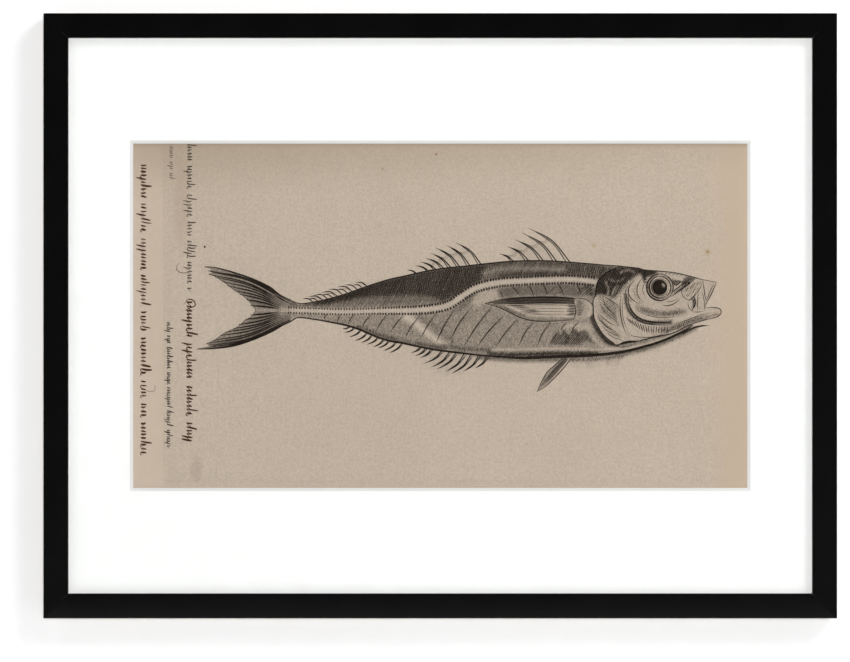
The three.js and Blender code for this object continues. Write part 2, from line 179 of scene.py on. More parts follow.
class Nodes:
    """Adds nodes to a tree. An input given a socket is linked to it, and any other value is set on it."""

    def __init__(self, tree):
        self.tree = tree

    def put(self, socket, value):
        if isinstance(value, bpy.types.NodeSocket):
            self.tree.links.new(value, socket)
        else:
            socket.default_value = value

    def add(self, kind, inputs=None, **settings):
        node = self.tree.nodes.new(kind)
        for name, value in settings.items():
            setattr(node, name, value)
        for name, value in (inputs or {}).items():
            self.put(node.inputs[name], value)
        return node

    def out(self, kind, inputs=None, **settings):
        """The first output of a new node."""
        return self.add(kind, inputs, **settings).outputs[0]


class Finish(Nodes):
    """A material in the making, with short names for the nodes that most finishes need."""

    def __init__(self, name):
        self.material = bpy.data.materials.new(name)
        self.material.use_nodes = True
        super().__init__(self.material.node_tree)
        self.tree.nodes.clear()

    def place(self, turn=(0, 0, 0), stretch=(1, 1, 1), offset=(0, 0, 0)):
        """The point on the object in millimetres, after an offset, a turn and a stretch."""
        point = self.add("ShaderNodeTexCoord").outputs["Object"]
        scale = tuple(s / MM for s in stretch)
        mapping = {"Vector": point, "Location": offset, "Rotation": turn, "Scale": scale}
        return self.add("ShaderNodeMapping", mapping).outputs["Vector"]

    def noise(self, point, size, detail=3.0, roughness=0.5):
        """Cloudy noise from 0 to 1 whose blobs are about size long."""
        inputs = {"Vector": point, "Scale": 1 / size, "Detail": detail, "Roughness": roughness}
        return self.add("ShaderNodeTexNoise", inputs).outputs["Fac"]

    def waves(self, direction, inputs):
        """Bands from 0 to 1 that follow each other along the direction."""
        return self.add("ShaderNodeTexWave", inputs, bands_direction=direction).outputs["Fac"]

    def calc(self, operation, a, b=0.0, clamp=False):
        return self.out("ShaderNodeMath", {0: a, 1: b}, operation=operation, use_clamp=clamp)

    def fade(self, value, start, end, low=0.0, high=1.0):
        """low where value is at start, high where it is at end, and a soft change between."""
        inputs = {"Value": value, "From Min": start, "From Max": end, "To Min": low, "To Max": high}
        return self.add("ShaderNodeMapRange", inputs, interpolation_type="SMOOTHSTEP").outputs["Result"]

    def mix(self, factor, first, second):
        return self.add("ShaderNodeMix", {0: factor, 6: first, 7: second}, data_type="RGBA").outputs[2]

    def layer(self, tint, value, start, end, high=1.0, low=0.0):
        """Lays a tint over the finish's colour, as strongly as fade says."""
        self.colour = self.mix(self.fade(value, start, end, low, high), self.colour, tint)

    def bump(self, height, strength, depth):
        inputs = {"Height": height, "Strength": strength, "Distance": depth * MM}
        return self.add("ShaderNodeBump", inputs).outputs["Normal"]

    def surface(self, **inputs):
        """Ends the tree in a Principled surface. Spaces in socket names are written as underscores."""
        named = {key.replace("_", " "): value for key, value in inputs.items()}
        shader = self.add("ShaderNodeBsdfPrincipled", {"Base Color": self.colour} | named)
        self.add("ShaderNodeOutputMaterial", {"Surface": shader.outputs[0]})
        return self.material


def full(colour):
    """The colour with full opacity."""
    return tuple(colour) + (1.0,)


def lighter(colour, *factors):
    """The colour with its three values multiplied by one factor, or each by its own."""
    return tuple(min(1.0, c * k) for c, k in zip(tuple(colour)[:3], factors * 3)) + (1.0,)


def grown(name, seed_mesh, tree, values):
    """The plain mesh that a Geometry Nodes tree makes from seed_mesh, given its inputs by name."""
    holder = link(bpy.data.objects.new(name + "_seed", seed_mesh))
    modifier = holder.modifiers.new("grow", "NODES")
    modifier.node_group = tree
    for item in tree.interface.items_tree:
        if item.in_out == "INPUT" and item.name in values:
            modifier[item.identifier] = values[item.name]
    evaluated = holder.evaluated_get(bpy.context.evaluated_depsgraph_get())
    mesh = bpy.data.meshes.new_from_object(evaluated)
    holder.modifiers.remove(modifier)
    bpy.data.objects.remove(holder)
    bpy.data.meshes.remove(seed_mesh)
    mesh.name = name
    return mesh


def new_tree(name, inputs):
    """A Geometry Nodes tree with a geometry in and out, and more inputs given as name: (kind, value)."""
    tree = bpy.data.node_groups.new(name, "GeometryNodeTree")
    tree.interface.new_socket("Geometry", in_out="INPUT", socket_type="NodeSocketGeometry")
    for key, (kind, value) in inputs.items():
        socket = tree.interface.new_socket(key, in_out="INPUT", socket_type="NodeSocket" + kind)
        if value is not None:
            socket.default_value = value
    tree.interface.new_socket("Geometry", in_out="OUTPUT", socket_type="NodeSocketGeometry")
    nodes = Nodes(tree)
    return nodes, nodes.add("NodeGroupInput").outputs


def end_tree(nodes, geometry, material):
    """Ends a tree with real geometry that has its material."""
    real = nodes.out("GeometryNodeRealizeInstances", {"Geometry": geometry})
    painted = nodes.out("GeometryNodeSetMaterial", {"Geometry": real, "Material": material})
    nodes.add("NodeGroupOutput", {"Geometry": painted})
    return nodes.tree


# --- what a user would change ---


def colour_setting(name, default, description):
    return bpy.props.FloatVectorProperty(
        name=name, description=description, default=default[:3], subtype="COLOR", min=0.0, max=1.0
    )


def length_setting(name, default, description):
    return bpy.props.FloatProperty(
        name=name, description=description, default=default, unit="LENGTH", subtype="DISTANCE", min=0.0,
        precision=5,
    )


def power_setting(name, default, description):
    return bpy.props.FloatProperty(name=name, description=description, default=default, unit="POWER")


class FrameSettings(bpy.types.PropertyGroup):
    """Finishes of the rails and of what they hold."""

    paint: colour_setting("Paint", (0.0015, 0.0015, 0.0016), "Colour of the rails' satin paint")
    timber: colour_setting("Timber", (0.52, 0.34, 0.18), "Colour of the bare wood behind")
    edge_ease: length_setting("Edge Ease", 0.12 * MM, "How far the rails' sharp edges are rounded")
    board: colour_setting("Mat Board", (0.915, 0.915, 0.91), "Colour of the mat")
    bevel_slack: length_setting("Bevel Slack", 0.6 * MM, "How much wider than deep the mat's bevel is")
    mount: colour_setting("Mount Board", (0.80, 0.76, 0.64), "Colour of the board behind the print")
    hardboard: colour_setting("Hardboard", (0.17, 0.085, 0.04), "Colour of the back")


class HardwareSettings(bpy.types.PropertyGroup):
    """Finishes and sizes of the metal parts and bumpers."""

    brass: colour_setting("Brass", (0.80, 0.60, 0.30), "Colour of the hangers' plating")
    steel: colour_setting("Steel", (0.56, 0.57, 0.58), "Colour of the tabs and wedges")
    rubber: colour_setting("Rubber", (0.22, 0.22, 0.21), "Colour of the wall bumpers")
    strap_sheet: length_setting("Strap Sheet", 0.75 * MM, "Thickness of the hanger strap's metal")


class PrintSettings(bpy.types.PropertyGroup):
    """Colours and line work of the printed sheet."""

    paper: colour_setting("Paper", (0.541, 0.453, 0.370), "Colour of the toned sheet")
    edge_stain: colour_setting("Edge Stain", (0.50, 0.392, 0.295), "Colour of the browned edge")
    ink: colour_setting("Printing Ink", (0.0125, 0.0088, 0.0066), "Colour of the engraved lines")
    writing: colour_setting("Writing Ink", (0.0465, 0.01612, 0.00744),
        "Colour of the pen strokes in the margin")
    line_weight: bpy.props.FloatProperty(
        name="Line Weight", description="Thickens or thins every engraved line", default=1.0, min=0.2, max=3.0
    )
    hatch_spacing: length_setting("Hatch Spacing", 1.0 * MM, "Distance between the back's shading lines")
    dot_density: bpy.props.FloatProperty(
        name="Dots", description="Stippled dots in a square centimetre of flank", default=130.0, min=0.0,
        max=400.0,
    )
    seed: bpy.props.IntProperty(name="Seed", description="Seed of the stipple and the pen strokes",
        default=7)


class StageSettings(bpy.types.PropertyGroup):
    """Wall, floor, lights and camera."""

    lens: bpy.props.FloatProperty(
        name="Lens", description="Focal length of the camera", default=300.0, unit="CAMERA", min=20.0
    )
    wall: colour_setting("Wall", (0.93, 0.93, 0.93), "Colour of the wall")
    floor: colour_setting("Floor", (0.80, 0.80, 0.79), "Colour of the floor")
    floor_drop: length_setting("Floor Drop", 0.6, "How far the floor is below the frame")
    key: power_setting("Key", 54.0, "Power of the high side light")
    fill: power_setting("Fill", 322.0, "Power of the light in front")
    side: power_setting("Sides", 8.0, "Power of each side light")
    back: power_setting("Back", 60.0, "Power of the light behind")
    sky: bpy.props.FloatProperty(name="Sky", description="Brightness of the surroundings", default=0.25)


# --- finishes of the frame and its boards ---


def paint_finish(settings, along):
    """Satin black paint over fine wood grain that runs along the rail."""
    f = Finish("black_satin_paint_" + along)
    stretch = (0.06, 1, 1) if along == "across" else (1, 1, 0.06)
    grain = f.noise(f.place(stretch=stretch), 0.45, 4, 0.6)
    grit = f.noise(f.place(), 0.18, 2)
    cloud = f.noise(f.place(), 35.0, 3)
    rub = f.noise(f.place(stretch=stretch), 2.6, 5, 0.7)
    paint = f.colour = full(settings.paint)
    f.layer(lighter(paint, 1.35), cloud, 0.35, 0.65)
    f.layer(lighter(paint, 2.4), rub, 0.66, 0.8, 0.5)
    height = f.calc("ADD", f.calc("MULTIPLY", grain, 0.7), f.calc("MULTIPLY", grit, 0.3))
    return f.surface(
        Roughness=f.fade(grit, 0.3, 0.7, 0.26, 0.34),
        Specular_IOR_Level=0.24,
        Normal=f.bump(height, 0.30, 0.04),
    )


def timber_finish(settings, along):
    """Bare pine behind, its grain along the rail, with paint oversprayed near the outer edges."""
    f = Finish("bare_timber_" + along)
    long_x = along == "across"
    point = f.place(stretch=(0.045, 1, 1) if long_x else (1, 1, 0.045))
    wander = f.add("ShaderNodeTexNoise", {"Vector": point, "Scale": 0.10, "Detail": 2.0}).outputs["Color"]
    bent = f.add("ShaderNodeMix", {0: 0.12, 4: point, 5: wander}, data_type="VECTOR").outputs[1]
    grain = {"Vector": bent, "Scale": 0.16, "Distortion": 5.0, "Detail": 3.0, "Detail Scale": 1.4}
    rings = f.waves("Z" if long_x else "X", grain)
    fibre = f.noise(point, 0.35, 5, 0.65)
    pores = f.noise(f.place(stretch=(0.12, 1, 1) if long_x else (1, 1, 0.12)), 0.22, 2)
    timber = f.colour = full(settings.timber)
    late = lighter(timber, 0.55, 0.42, 0.30)
    f.layer(late, rings, 0.35, 0.95, 0.75)
    f.layer(lighter(timber, 1.3), fibre, 0.3, 0.75, 0.45)
    f.layer(lighter(late, 0.5), pores, 0.62, 0.72, 0.6)
    axes = f.add("ShaderNodeSeparateXYZ", {0: f.place()}).outputs
    middle = (FRAME_TOP + FRAME_BOTTOM) / 2 / MM
    in_x = f.calc("SUBTRACT", OUTER_HIGH.x / MM, f.calc("ABSOLUTE", axes[0]))
    half_tall = (FRAME_TOP - FRAME_BOTTOM) / 2 / MM
    in_z = f.calc("SUBTRACT", half_tall, f.calc("ABSOLUTE", f.calc("SUBTRACT", axes[2], middle)))
    inward = f.calc("MINIMUM", in_x, in_z)
    ragged = f.calc("ADD", inward, f.calc("MULTIPLY", f.noise(f.place(), 3.0, 4, 0.6), -5.0))
    f.layer((0.008, 0.008, 0.008, 1), ragged, -2.0, 0.8, 0.0, 0.96)
    height = f.calc("ADD", f.calc("MULTIPLY", fibre, 0.6), f.calc("MULTIPLY", rings, 0.4))
    return f.surface(Roughness=f.fade(fibre, 0.3, 0.7, 0.62, 0.8), Normal=f.bump(height, 0.5, 0.12))


def glass_finish():
    """Picture glass: clear, with the faint mirror that clear glass has, stronger at a slant."""
    f = Finish("picture_glass")
    fresnel = f.out("ShaderNodeFresnel", {"IOR": 1.22})
    ripple = f.bump(f.noise(f.place(), 60.0, 1), 0.05, 0.05)
    clear = f.out("ShaderNodeBsdfTransparent", {"Color": (0.995, 0.996, 0.9955, 1)})
    mirror = f.out("ShaderNodeBsdfGlossy", {"Color": (0.95, 1, 0.98, 1), "Roughness": 0.03,
        "Normal": ripple})
    both = f.out("ShaderNodeMixShader", {0: fresnel, 1: clear, 2: mirror})
    f.add("ShaderNodeOutputMaterial", {"Surface": both})
    return f.material


def mat_finish(settings):
    """White cotton mat board with a fine tooth. Its bevel and every face turned away from the front are
    painted grey, as painted shade on the white board.
    """
    f = Finish("white_mat_board")
    board = f.colour = full(settings.board)
    normal = f.add("ShaderNodeNewGeometry").outputs["True Normal"]
    facing = f.calc("ABSOLUTE", f.add("ShaderNodeSeparateXYZ", {0: normal}).outputs[1])
    bevel_shade = f.fade(facing, 0.9, 0.98, 1.0, 0.0)
    tooth = f.noise(f.place(), 0.55, 4, 0.65)
    pulp = f.noise(f.place(), 18.0, 4, 0.6)
    fleck = f.noise(f.place(), 0.8, 1)
    f.layer(lighter(board, 0.985, 0.984, 0.978), pulp, 0.35, 0.65)
    f.layer((0.70, 0.68, 0.62, 1), fleck, 0.74, 0.8, 0.18)
    # painted shade: the bevel and the faces turned away from the front darkened to grey
    f.colour = f.mix(bevel_shade, f.colour, (0.77, 0.775, 0.78, 1))
    height = f.calc("ADD", tooth, f.calc("MULTIPLY", f.noise(f.place(), 0.2, 2), 0.4))
    return f.surface(Roughness=0.86, Specular_IOR_Level=0.25, Normal=f.bump(height, 0.16, 0.05))


def mount_finish(settings):
    """Cream mount board, a little foxed and browner in cloudy patches."""
    f = Finish("cream_mount_board")
    cream = f.colour = full(settings.mount)
    cloud = f.noise(f.place(), 40.0, 4, 0.6)
    felt = f.noise(f.place(), 0.9, 4, 0.7)
    spots = f.noise(f.place(), 5.0, 2)
    f.layer(lighter(cream, 0.9, 0.85, 0.76), cloud, 0.3, 0.7)
    f.layer((0.42, 0.28, 0.14, 1), spots, 0.72, 0.8, 0.5)
    return f.surface(Roughness=0.88, Normal=f.bump(felt, 0.2, 0.06))


def hinge_finish(name, colour, weave):
    """Hinging paper or linen tape: a woven linen has a thread pattern, a paper has only fibres."""
    f = Finish(name)
    point = f.place()
    height = f.noise(f.place(stretch=(1, 1, 0.25)), 0.4, 5, 0.7)
    if weave:
        thread = {"Vector": point, "Scale": 0.55, "Distortion": 0.6, "Detail": 1.0}
        height = f.calc("MAXIMUM", *[f.waves(d, thread) for d in "XZ"])
    f.colour = lighter(colour, 0.72)
    f.layer(colour, height, 0.2, 0.9)
    f.layer(lighter(colour, 0.85), f.noise(point, 9.0, 3), 0.4, 0.7, 0.4)
    return f.surface(Roughness=0.85, Normal=f.bump(height, 0.5, 0.05))


def hardboard_finish(settings):
    """Brown hardboard: pressed wood fibres with the grid of its making screen, and scuffs."""
    f = Finish("hardboard_back")
    point = f.place()
    brown = f.colour = full(settings.hardboard)
    wire = {"Vector": point, "Scale": 0.21, "Distortion": 0.7, "Detail": 2.0, "Detail Scale": 0.5}
    screen = f.calc("MULTIPLY", *[f.waves(d, wire) for d in "XZ"])
    fibres = f.noise(f.place(turn=(0, 0.6, 0), stretch=(0.18, 1, 1)), 0.5, 5, 0.7)
    cross = f.noise(f.place(turn=(0, -0.8, 0), stretch=(0.18, 1, 1)), 0.6, 5, 0.7)
    felt = f.calc("MAXIMUM", fibres, cross)
    cloud = f.noise(point, 70.0, 4, 0.55)
    scuff = f.noise(f.place(turn=(0, 0.35, 0), stretch=(0.1, 1, 1)), 4.0, 5, 0.75)
    f.layer(lighter(brown, 2.0, 2.1, 2.2), felt, 0.45, 0.75)
    f.layer(lighter(brown, 0.55), screen, 0.15, 0.7, 0.35)
    f.layer(lighter(brown, 0.7), cloud, 0.35, 0.7, 0.5)
    f.layer((0.42, 0.30, 0.19, 1), scuff, 0.66, 0.76, 0.35)
    height = f.calc("ADD", f.calc("MULTIPLY", felt, 0.5), f.calc("MULTIPLY", screen, -0.6))
    return f.surface(Roughness=f.fade(felt, 0.3, 0.8, 0.55, 0.75), Normal=f.bump(height, 0.7, 0.15))


# --- finishes of the hardware ---


def zinc_finish(settings):
    """Bright zinc on steel strip: faint spangles, rolling lines and a few dull spots."""
    f = Finish("zinc_plated_steel")
    steel = full(settings.steel)
    spangle = f.add("ShaderNodeTexVoronoi", {"Vector": f.place(), "Scale": 0.8}).outputs["Color"]
    grey = f.out("ShaderNodeRGBToBW", {0: spangle})
    lines = f.noise(f.place(stretch=(1, 1, 0.06)), 0.25, 3, 0.6)
    dull = f.noise(f.place(), 1.6, 4, 0.7)
    f.colour = lighter(steel, 0.78)
    f.layer(steel, grey, 0.2, 0.9)
    f.layer((0.24, 0.23, 0.215, 1), dull, 0.6, 0.75, 0.7)
    return f.surface(
        Metallic=1.0,
        Roughness=f.fade(dull, 0.35, 0.75, 0.26, 0.58),
        Normal=f.bump(lines, 0.25, 0.02),
    )


def brass_finish(settings):
    """Brass plating, brushed, a little tarnished and pitted."""
    f = Finish("brass_plating")
    f.colour = full(settings.brass)
    brushed = f.noise(f.place(stretch=(0.08, 1, 1)), 0.12, 3, 0.6)
    tarnish = f.noise(f.place(), 2.4, 5, 0.7)
    pits = f.noise(f.place(), 0.35, 2)
    f.layer((0.44, 0.27, 0.11, 1), tarnish, 0.42, 0.68)
    f.layer((0.12, 0.075, 0.04, 1), pits, 0.68, 0.76, 0.7)
    return f.surface(
        Metallic=1.0,
        Roughness=f.fade(tarnish, 0.35, 0.7, 0.22, 0.45),
        Normal=f.bump(brushed, 0.2, 0.02),
    )


def rubber_finish(settings):
    """Cloudy clear rubber with a dull skin that holds dust."""
    f = Finish("cloudy_rubber")
    f.colour = full(settings.rubber)
    dust = f.noise(f.place(), 0.7, 5, 0.7)
    f.layer((0.42, 0.41, 0.38, 1), dust, 0.5, 0.7, 0.5)
    return f.surface(
        Roughness=f.fade(dust, 0.35, 0.7, 0.32, 0.6),
        Transmission_Weight=0.35,
        IOR=1.45,
        Normal=f.bump(dust, 0.2, 0.04),
    )


# --- the frame and its boards ---

RAILS = {"top": "across", "bottom": "across", "left": "upright", "right": "upright"}


class FRAMED_PRINT_OT_rails(bpy.types.Operator):
    """Makes the four mitred rails, painted where they show and bare behind"""

    bl_idname = "framed_print.rails"
    bl_label = "Rails"

    def execute(self, context):
        settings = context.scene.framed_print_frame
        finishes = {a: (paint_finish(settings, a), timber_finish(settings, a)) for a in ("across",
            "upright")}
        for side, along in RAILS.items():
            mesh = to_mesh(eased(joined_copy("rail_" + side), settings.edge_ease), "rail_" + side)
            painted = [self.is_painted(side, face) for face in mesh.polygons]
            mesh.polygons.foreach_set("material_index", [0 if p else 1 for p in painted])
            finish_piece(side + "_rail", shaded(mesh, 20), finishes[along], ("rail_" + side,))
        return {"FINISHED"}

    @staticmethod
    def is_painted(side, face):
        """True on the front, the outer side and the sight edge of a rail. The mitres are bare."""
        inward = {"top": (0, -1), "bottom": (0, 1), "left": (1, 0), "right": (-1, 0)}[side]
        normal, centre = face.normal, face.center
        towards_sight = normal.x * inward[0] + normal.z * inward[1]
        mitre = abs(abs(normal.x) - abs(normal.z)) < 0.15 and abs(normal.y) < 0.3
        if mitre:
            return False
        if normal.y < -0.3 and centre.y < SEAT_Y - 0.5 * MM:
            return True
        if towards_sight < -0.5:
            return True
        return towards_sight > 0.5 and centre.y < SEAT_Y


class FRAMED_PRINT_OT_glazing(bpy.types.Operator):
    """Gives the sheet of glass its finish"""

    bl_idname = "framed_print.glazing"
    bl_label = "Glass"

    def execute(self, context):
        frame["nodes"]["glass_sheet"].material_slots[0].material = glass_finish()
        return {"FINISHED"}


class FRAMED_PRINT_OT_boards(bpy.types.Operator):
    """Makes the window mat and backboard, and gives the mount board, hinges and tape their finishes"""

    bl_idname = "framed_print.boards"
    bl_label = "Boards"

    def execute(self, context):
        settings = context.scene.framed_print_frame
        mat = joined_copy("window_mat")
        for corner in mat.verts:
            # the bevel is cut a little flatter than 45 degrees
            if corner.co.y < MAT_BOX[0].y + MOUTH_DEPTH and abs(corner.co.x) < WINDOW_CORNERS_WITHIN:
                corner.co.x += math.copysign(settings.bevel_slack, corner.co.x)
                corner.co.z += math.copysign(settings.bevel_slack, corner.co.z - CENTRE_Z)
        mat = eased(mat, 0.10 * MM)
        finish_piece("bevelled_mat", shaded(to_mesh(mat, "mat"), 20),
            (mat_finish(settings),), ("window_mat",))
        back = eased(joined_copy("backboard"), 0.35 * MM)
        material = hardboard_finish(settings)
        finish_piece("hardboard_back", shaded(to_mesh(back, "back"), 20), (material,),
            ("backboard",))
        nodes = frame["nodes"]
        nodes["mount_board"].material_slots[0].material = mount_finish(settings)
        nodes["mat_hinge_tape"].material_slots[0].material = hinge_finish("linen_tape", (0.72, 0.69, 0.60,
            1), True)
        paper = hinge_finish("hinge_paper", (0.76, 0.72, 0.62, 1), False)
        for side in ("left", "right"):
            nodes["print_hinge_" + side].material_slots[0].material = paper
        return {"FINISHED"}


# --- tabs and wedges ---


def tab_tree():
    """Flat tabs with rounded ends on the points of a seed, each turned by the seed's turn attribute."""
    inputs = {"Width": ("Float", 7 * MM), "Length": ("Float", 20 * MM), "Thickness": ("Float", 0.5 * MM)}
    inputs |= {"Corner": ("Float", 1.6 * MM), "Material": ("Material", None)}
    n, given = new_tree("steel_tabs", inputs)
    sheet = n.out("GeometryNodeCurvePrimitiveQuadrilateral", {"Width": given["Width"],
        "Height": given["Length"]})
    corners = n.add("GeometryNodeFilletCurve", {"Curve": sheet, "Radius": given["Corner"], "Count": 5},
        mode="POLY")
    flat = n.out("GeometryNodeFillCurve", {"Curve": corners.outputs[0]}, mode="NGONS")
    thick = n.add("GeometryNodeExtrudeMesh", {"Mesh": flat, "Offset Scale": given["Thickness"],
        "Individual": False})
    under = n.out("GeometryNodeFlipFaces", {"Mesh": flat})
    shell = n.add("GeometryNodeJoinGeometry")
    for part in (thick.outputs[0], under):
        n.tree.links.new(part, shell.inputs[0])
    whole = n.out("GeometryNodeMergeByDistance", {"Geometry": shell.outputs[0], "Distance": 0.001 * MM})
    half = n.out("ShaderNodeMath", {0: given["Thickness"], 1: -0.5}, operation="MULTIPLY")
    middle = n.out("ShaderNodeCombineXYZ", {"Z": half})
    centred = n.out("GeometryNodeTransform", {"Geometry": whole, "Translation": middle})
    upright = n.out("GeometryNodeTransform", {"Geometry": centred, "Rotation": (math.pi / 2, 0, 0)})
    turn = n.out("GeometryNodeInputNamedAttribute", {"Name": "turn"}, data_type="FLOAT")
    about = n.out("ShaderNodeCombineXYZ", {"Y": turn})
    points = n.out("GeometryNodeMeshToPoints", {"Mesh": given["Geometry"]})
    tabs = n.out("GeometryNodeInstanceOnPoints", {"Points": points, "Instance": upright, "Rotation": about})
    return end_tree(n, tabs, given["Material"])


def wedge_tree():
    """Folded strips of sheet that stand on their edges along the seed's bent lines."""
    inputs = {"Sheet": ("Float", 0.6 * MM), "Height": ("Float", 10 * MM), "Bend": ("Float", 0.8 * MM)}
    inputs["Material"] = ("Material", None)
    n, given = new_tree("mitre_wedges", inputs)
    line = n.out("GeometryNodeMeshToCurve", {"Mesh": given["Geometry"]})
    bent = n.out("GeometryNodeFilletCurve", {"Curve": line, "Radius": given["Bend"], "Count": 4},
        mode="POLY")
    upright = n.out("GeometryNodeSetCurveNormal", {"Curve": bent}, mode="Z_UP")
    section = n.add("GeometryNodeCurvePrimitiveQuadrilateral", {"Width": given["Sheet"],
        "Height": given["Height"]})
    soft = n.out(
        "GeometryNodeFilletCurve", {"Curve": section.outputs[0], "Radius": 0.12 * MM,
            "Count": 2}, mode="POLY"
    )
    strip = {"Curve": upright, "Profile Curve": soft, "Fill Caps": True}
    swept = n.out("GeometryNodeCurveToMesh", strip)
    stood = n.out("GeometryNodeTransform", {"Geometry": swept, "Rotation": (math.pi / 2, 0, 0)})
    return end_tree(n, stood, given["Material"])


def nodes_named(start):
    return sorted(name for name in frame["nodes"] if name.startswith(start))


class FRAMED_PRINT_OT_fasteners(bpy.types.Operator):
    """Makes the steel tabs that hold the stack in, and the wedges across the mitres"""

    bl_idname = "framed_print.fasteners"
    bl_label = "Tabs and Wedges"

    def execute(self, context):
        zinc = zinc_finish(context.scene.framed_print_hardware)
        tabs = nodes_named("tab_")
        seed = bpy.data.meshes.new("tab_seed")
        boxes = [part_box(name) for name in tabs]
        seed.from_pydata([(low + high) / 2 for low, high in boxes], [], [])
        turns = [math.pi / 2 if high.x - low.x > high.z - low.z else 0.0 for low, high in boxes]
        seed.attributes.new("turn", "FLOAT", "POINT").data.foreach_set("value", turns)
        low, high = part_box("tab_top_1")
        sizes = {"Width": high.x - low.x, "Length": high.z - low.z, "Thickness": high.y - low.y,
            "Material": zinc}
        mesh = grown("tabs", seed, tab_tree(), sizes)
        finish_piece("steel_tabs", shaded(mesh), (), tabs)

        wedges = nodes_named("mitre_wedge_")
        points, edges = [], []
        for name in wedges:
            low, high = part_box(name)
            side_x = 1 if low.x > 0 else -1
            side_z = 1 if low.z > CENTRE_Z else -1
            tip_x, near_x = (high.x, low.x) if side_x > 0 else (low.x, high.x)
            tip_z, near_z = (high.z, low.z) if side_z > 0 else (low.z, high.z)
            tip_x, tip_z = tip_x - side_x * WEDGE_HALF_SHEET, tip_z - side_z * WEDGE_HALF_SHEET
            first = len(points)
            # the seed is laid flat: the tree stands it up again, so z here becomes -y there
            points += [(near_x, tip_z, 0), (tip_x, tip_z, 0), (tip_x, near_z, 0)]
            edges += [(first, first + 1), (first + 1, first + 2)]
        low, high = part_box(wedges[0])
        points = [(x, z, -(low.y + high.y) / 2) for x, z, _ in points]
        seed = bpy.data.meshes.new("wedge_seed")
        seed.from_pydata(points, edges, [])
        mesh = grown("wedges", seed, wedge_tree(), {"Height": high.y - low.y, "Material": zinc})
        finish_piece("mitre_wedges", shaded(mesh), (), wedges)
        return {"FINISHED"}


# --- hangers and bumpers ---


def ring_mesh(name, node):
    """A D of round wire: a straight bar below with a butt joint in it, two short sides and a round top."""
    low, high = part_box(node)
    wire = (high.y - low.y) / 2
    middle = (low + high) / 2
    half = (high.x - low.x) / 2 - wire
    bar, corner = low.z + wire, 1.5 * MM
    shoulder = high.z - wire - half
    arc = [(half * math.cos(a), shoulder + half * math.sin(a)) for a in np.linspace(0, math.pi, 33)]
    path = [(0.15 * MM, bar), (half - corner, bar)]
    path += [(half - corner + corner * math.sin(a),
        bar + corner - corner * math.cos(a)) for a in np.linspace(0.2, 1.57, 7)]
    path += arc
    path += [(-x, z) for x, z in reversed(path[:9])]
    rings = []
    for i, (x, z) in enumerate(path):
        before, after = path[max(i - 1, 0)], path[min(i + 1, len(path) - 1)]
        ahead = Vector((after[0] - before[0], 0, after[1] - before[1])).normalized()
        aside = Vector((ahead.z, 0, -ahead.x))
        for_end = 0.93 if i in (0, len(path) - 1) else 1.0
        centre = Vector((middle.x + x, middle.y, z))
        angles = [2 * math.pi * k / 20 for k in range(20)]
        rings.append([centre + (aside * math.cos(a) + Vector((0, math.sin(a),
            0))) * wire * for_end for a in angles])
    return mesh_from(name, [p for ring in rings for p in ring], ring_stack(rings))


def strap_mesh(name, node, ring, sheet):
    """A strip of metal folded round the ring's bar, its two leaves pressed together, round at their feet."""
    low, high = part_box(node)
    ring_low, ring_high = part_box(ring)
    wire = (ring_high.y - ring_low.y) / 2
    bar = Vector((0, (ring_low.y + ring_high.y) / 2, ring_low.z + wire))
    outer = bar.y - low.y
    inner = outer - sheet
    leaf = 0.03 * MM  # half the gap between the leaves
    seam = low.y + sheet + leaf
    start = math.asin(min(1, (outer - 2 * sheet - 2 * leaf) / outer))
    front_y = low.y + 2 * (sheet + leaf)
    blend = math.asin((bar.y - seam - leaf) / inner)
    outside = [(front_y, None)]
    outside += [(bar.y + outer * math.sin(a), bar.z - outer * math.cos(a)) for a in np.linspace(-start,
        math.pi * 1.5, 34)]
    outside += [(low.y, None)]
    inside = [(low.y + sheet, None), (low.y + sheet, bar.z - inner * math.cos(0.4))]
    inside += [(bar.y + inner * math.sin(a),
        bar.z - inner * math.cos(a)) for a in np.linspace(1.5 * math.pi, -blend, 30)]
    inside += [(front_y - sheet, None)]
    loop = outside + inside
    half = (high.x - low.x) / 2
    corner = 2.2 * MM
    middle = (low.x + high.x) / 2
    rings = []
    for t in (-1, -0.97, -0.9, -0.8, -0.66, -0.5, 0, 0.5, 0.66, 0.8, 0.9, 0.97, 1):
        x = half * t
        over = max(0.0, abs(x) - (half - corner))
        foot = low.z + corner - math.sqrt(max(0.0, corner**2 - over**2))
        ease = 0.1 * MM if abs(t) == 1 else 0.0
        rings.append([(middle + x, y, foot + ease if z is None else z) for y, z in loop])
    return mesh_from(name, [p for row in rings for p in row], ring_stack(rings))


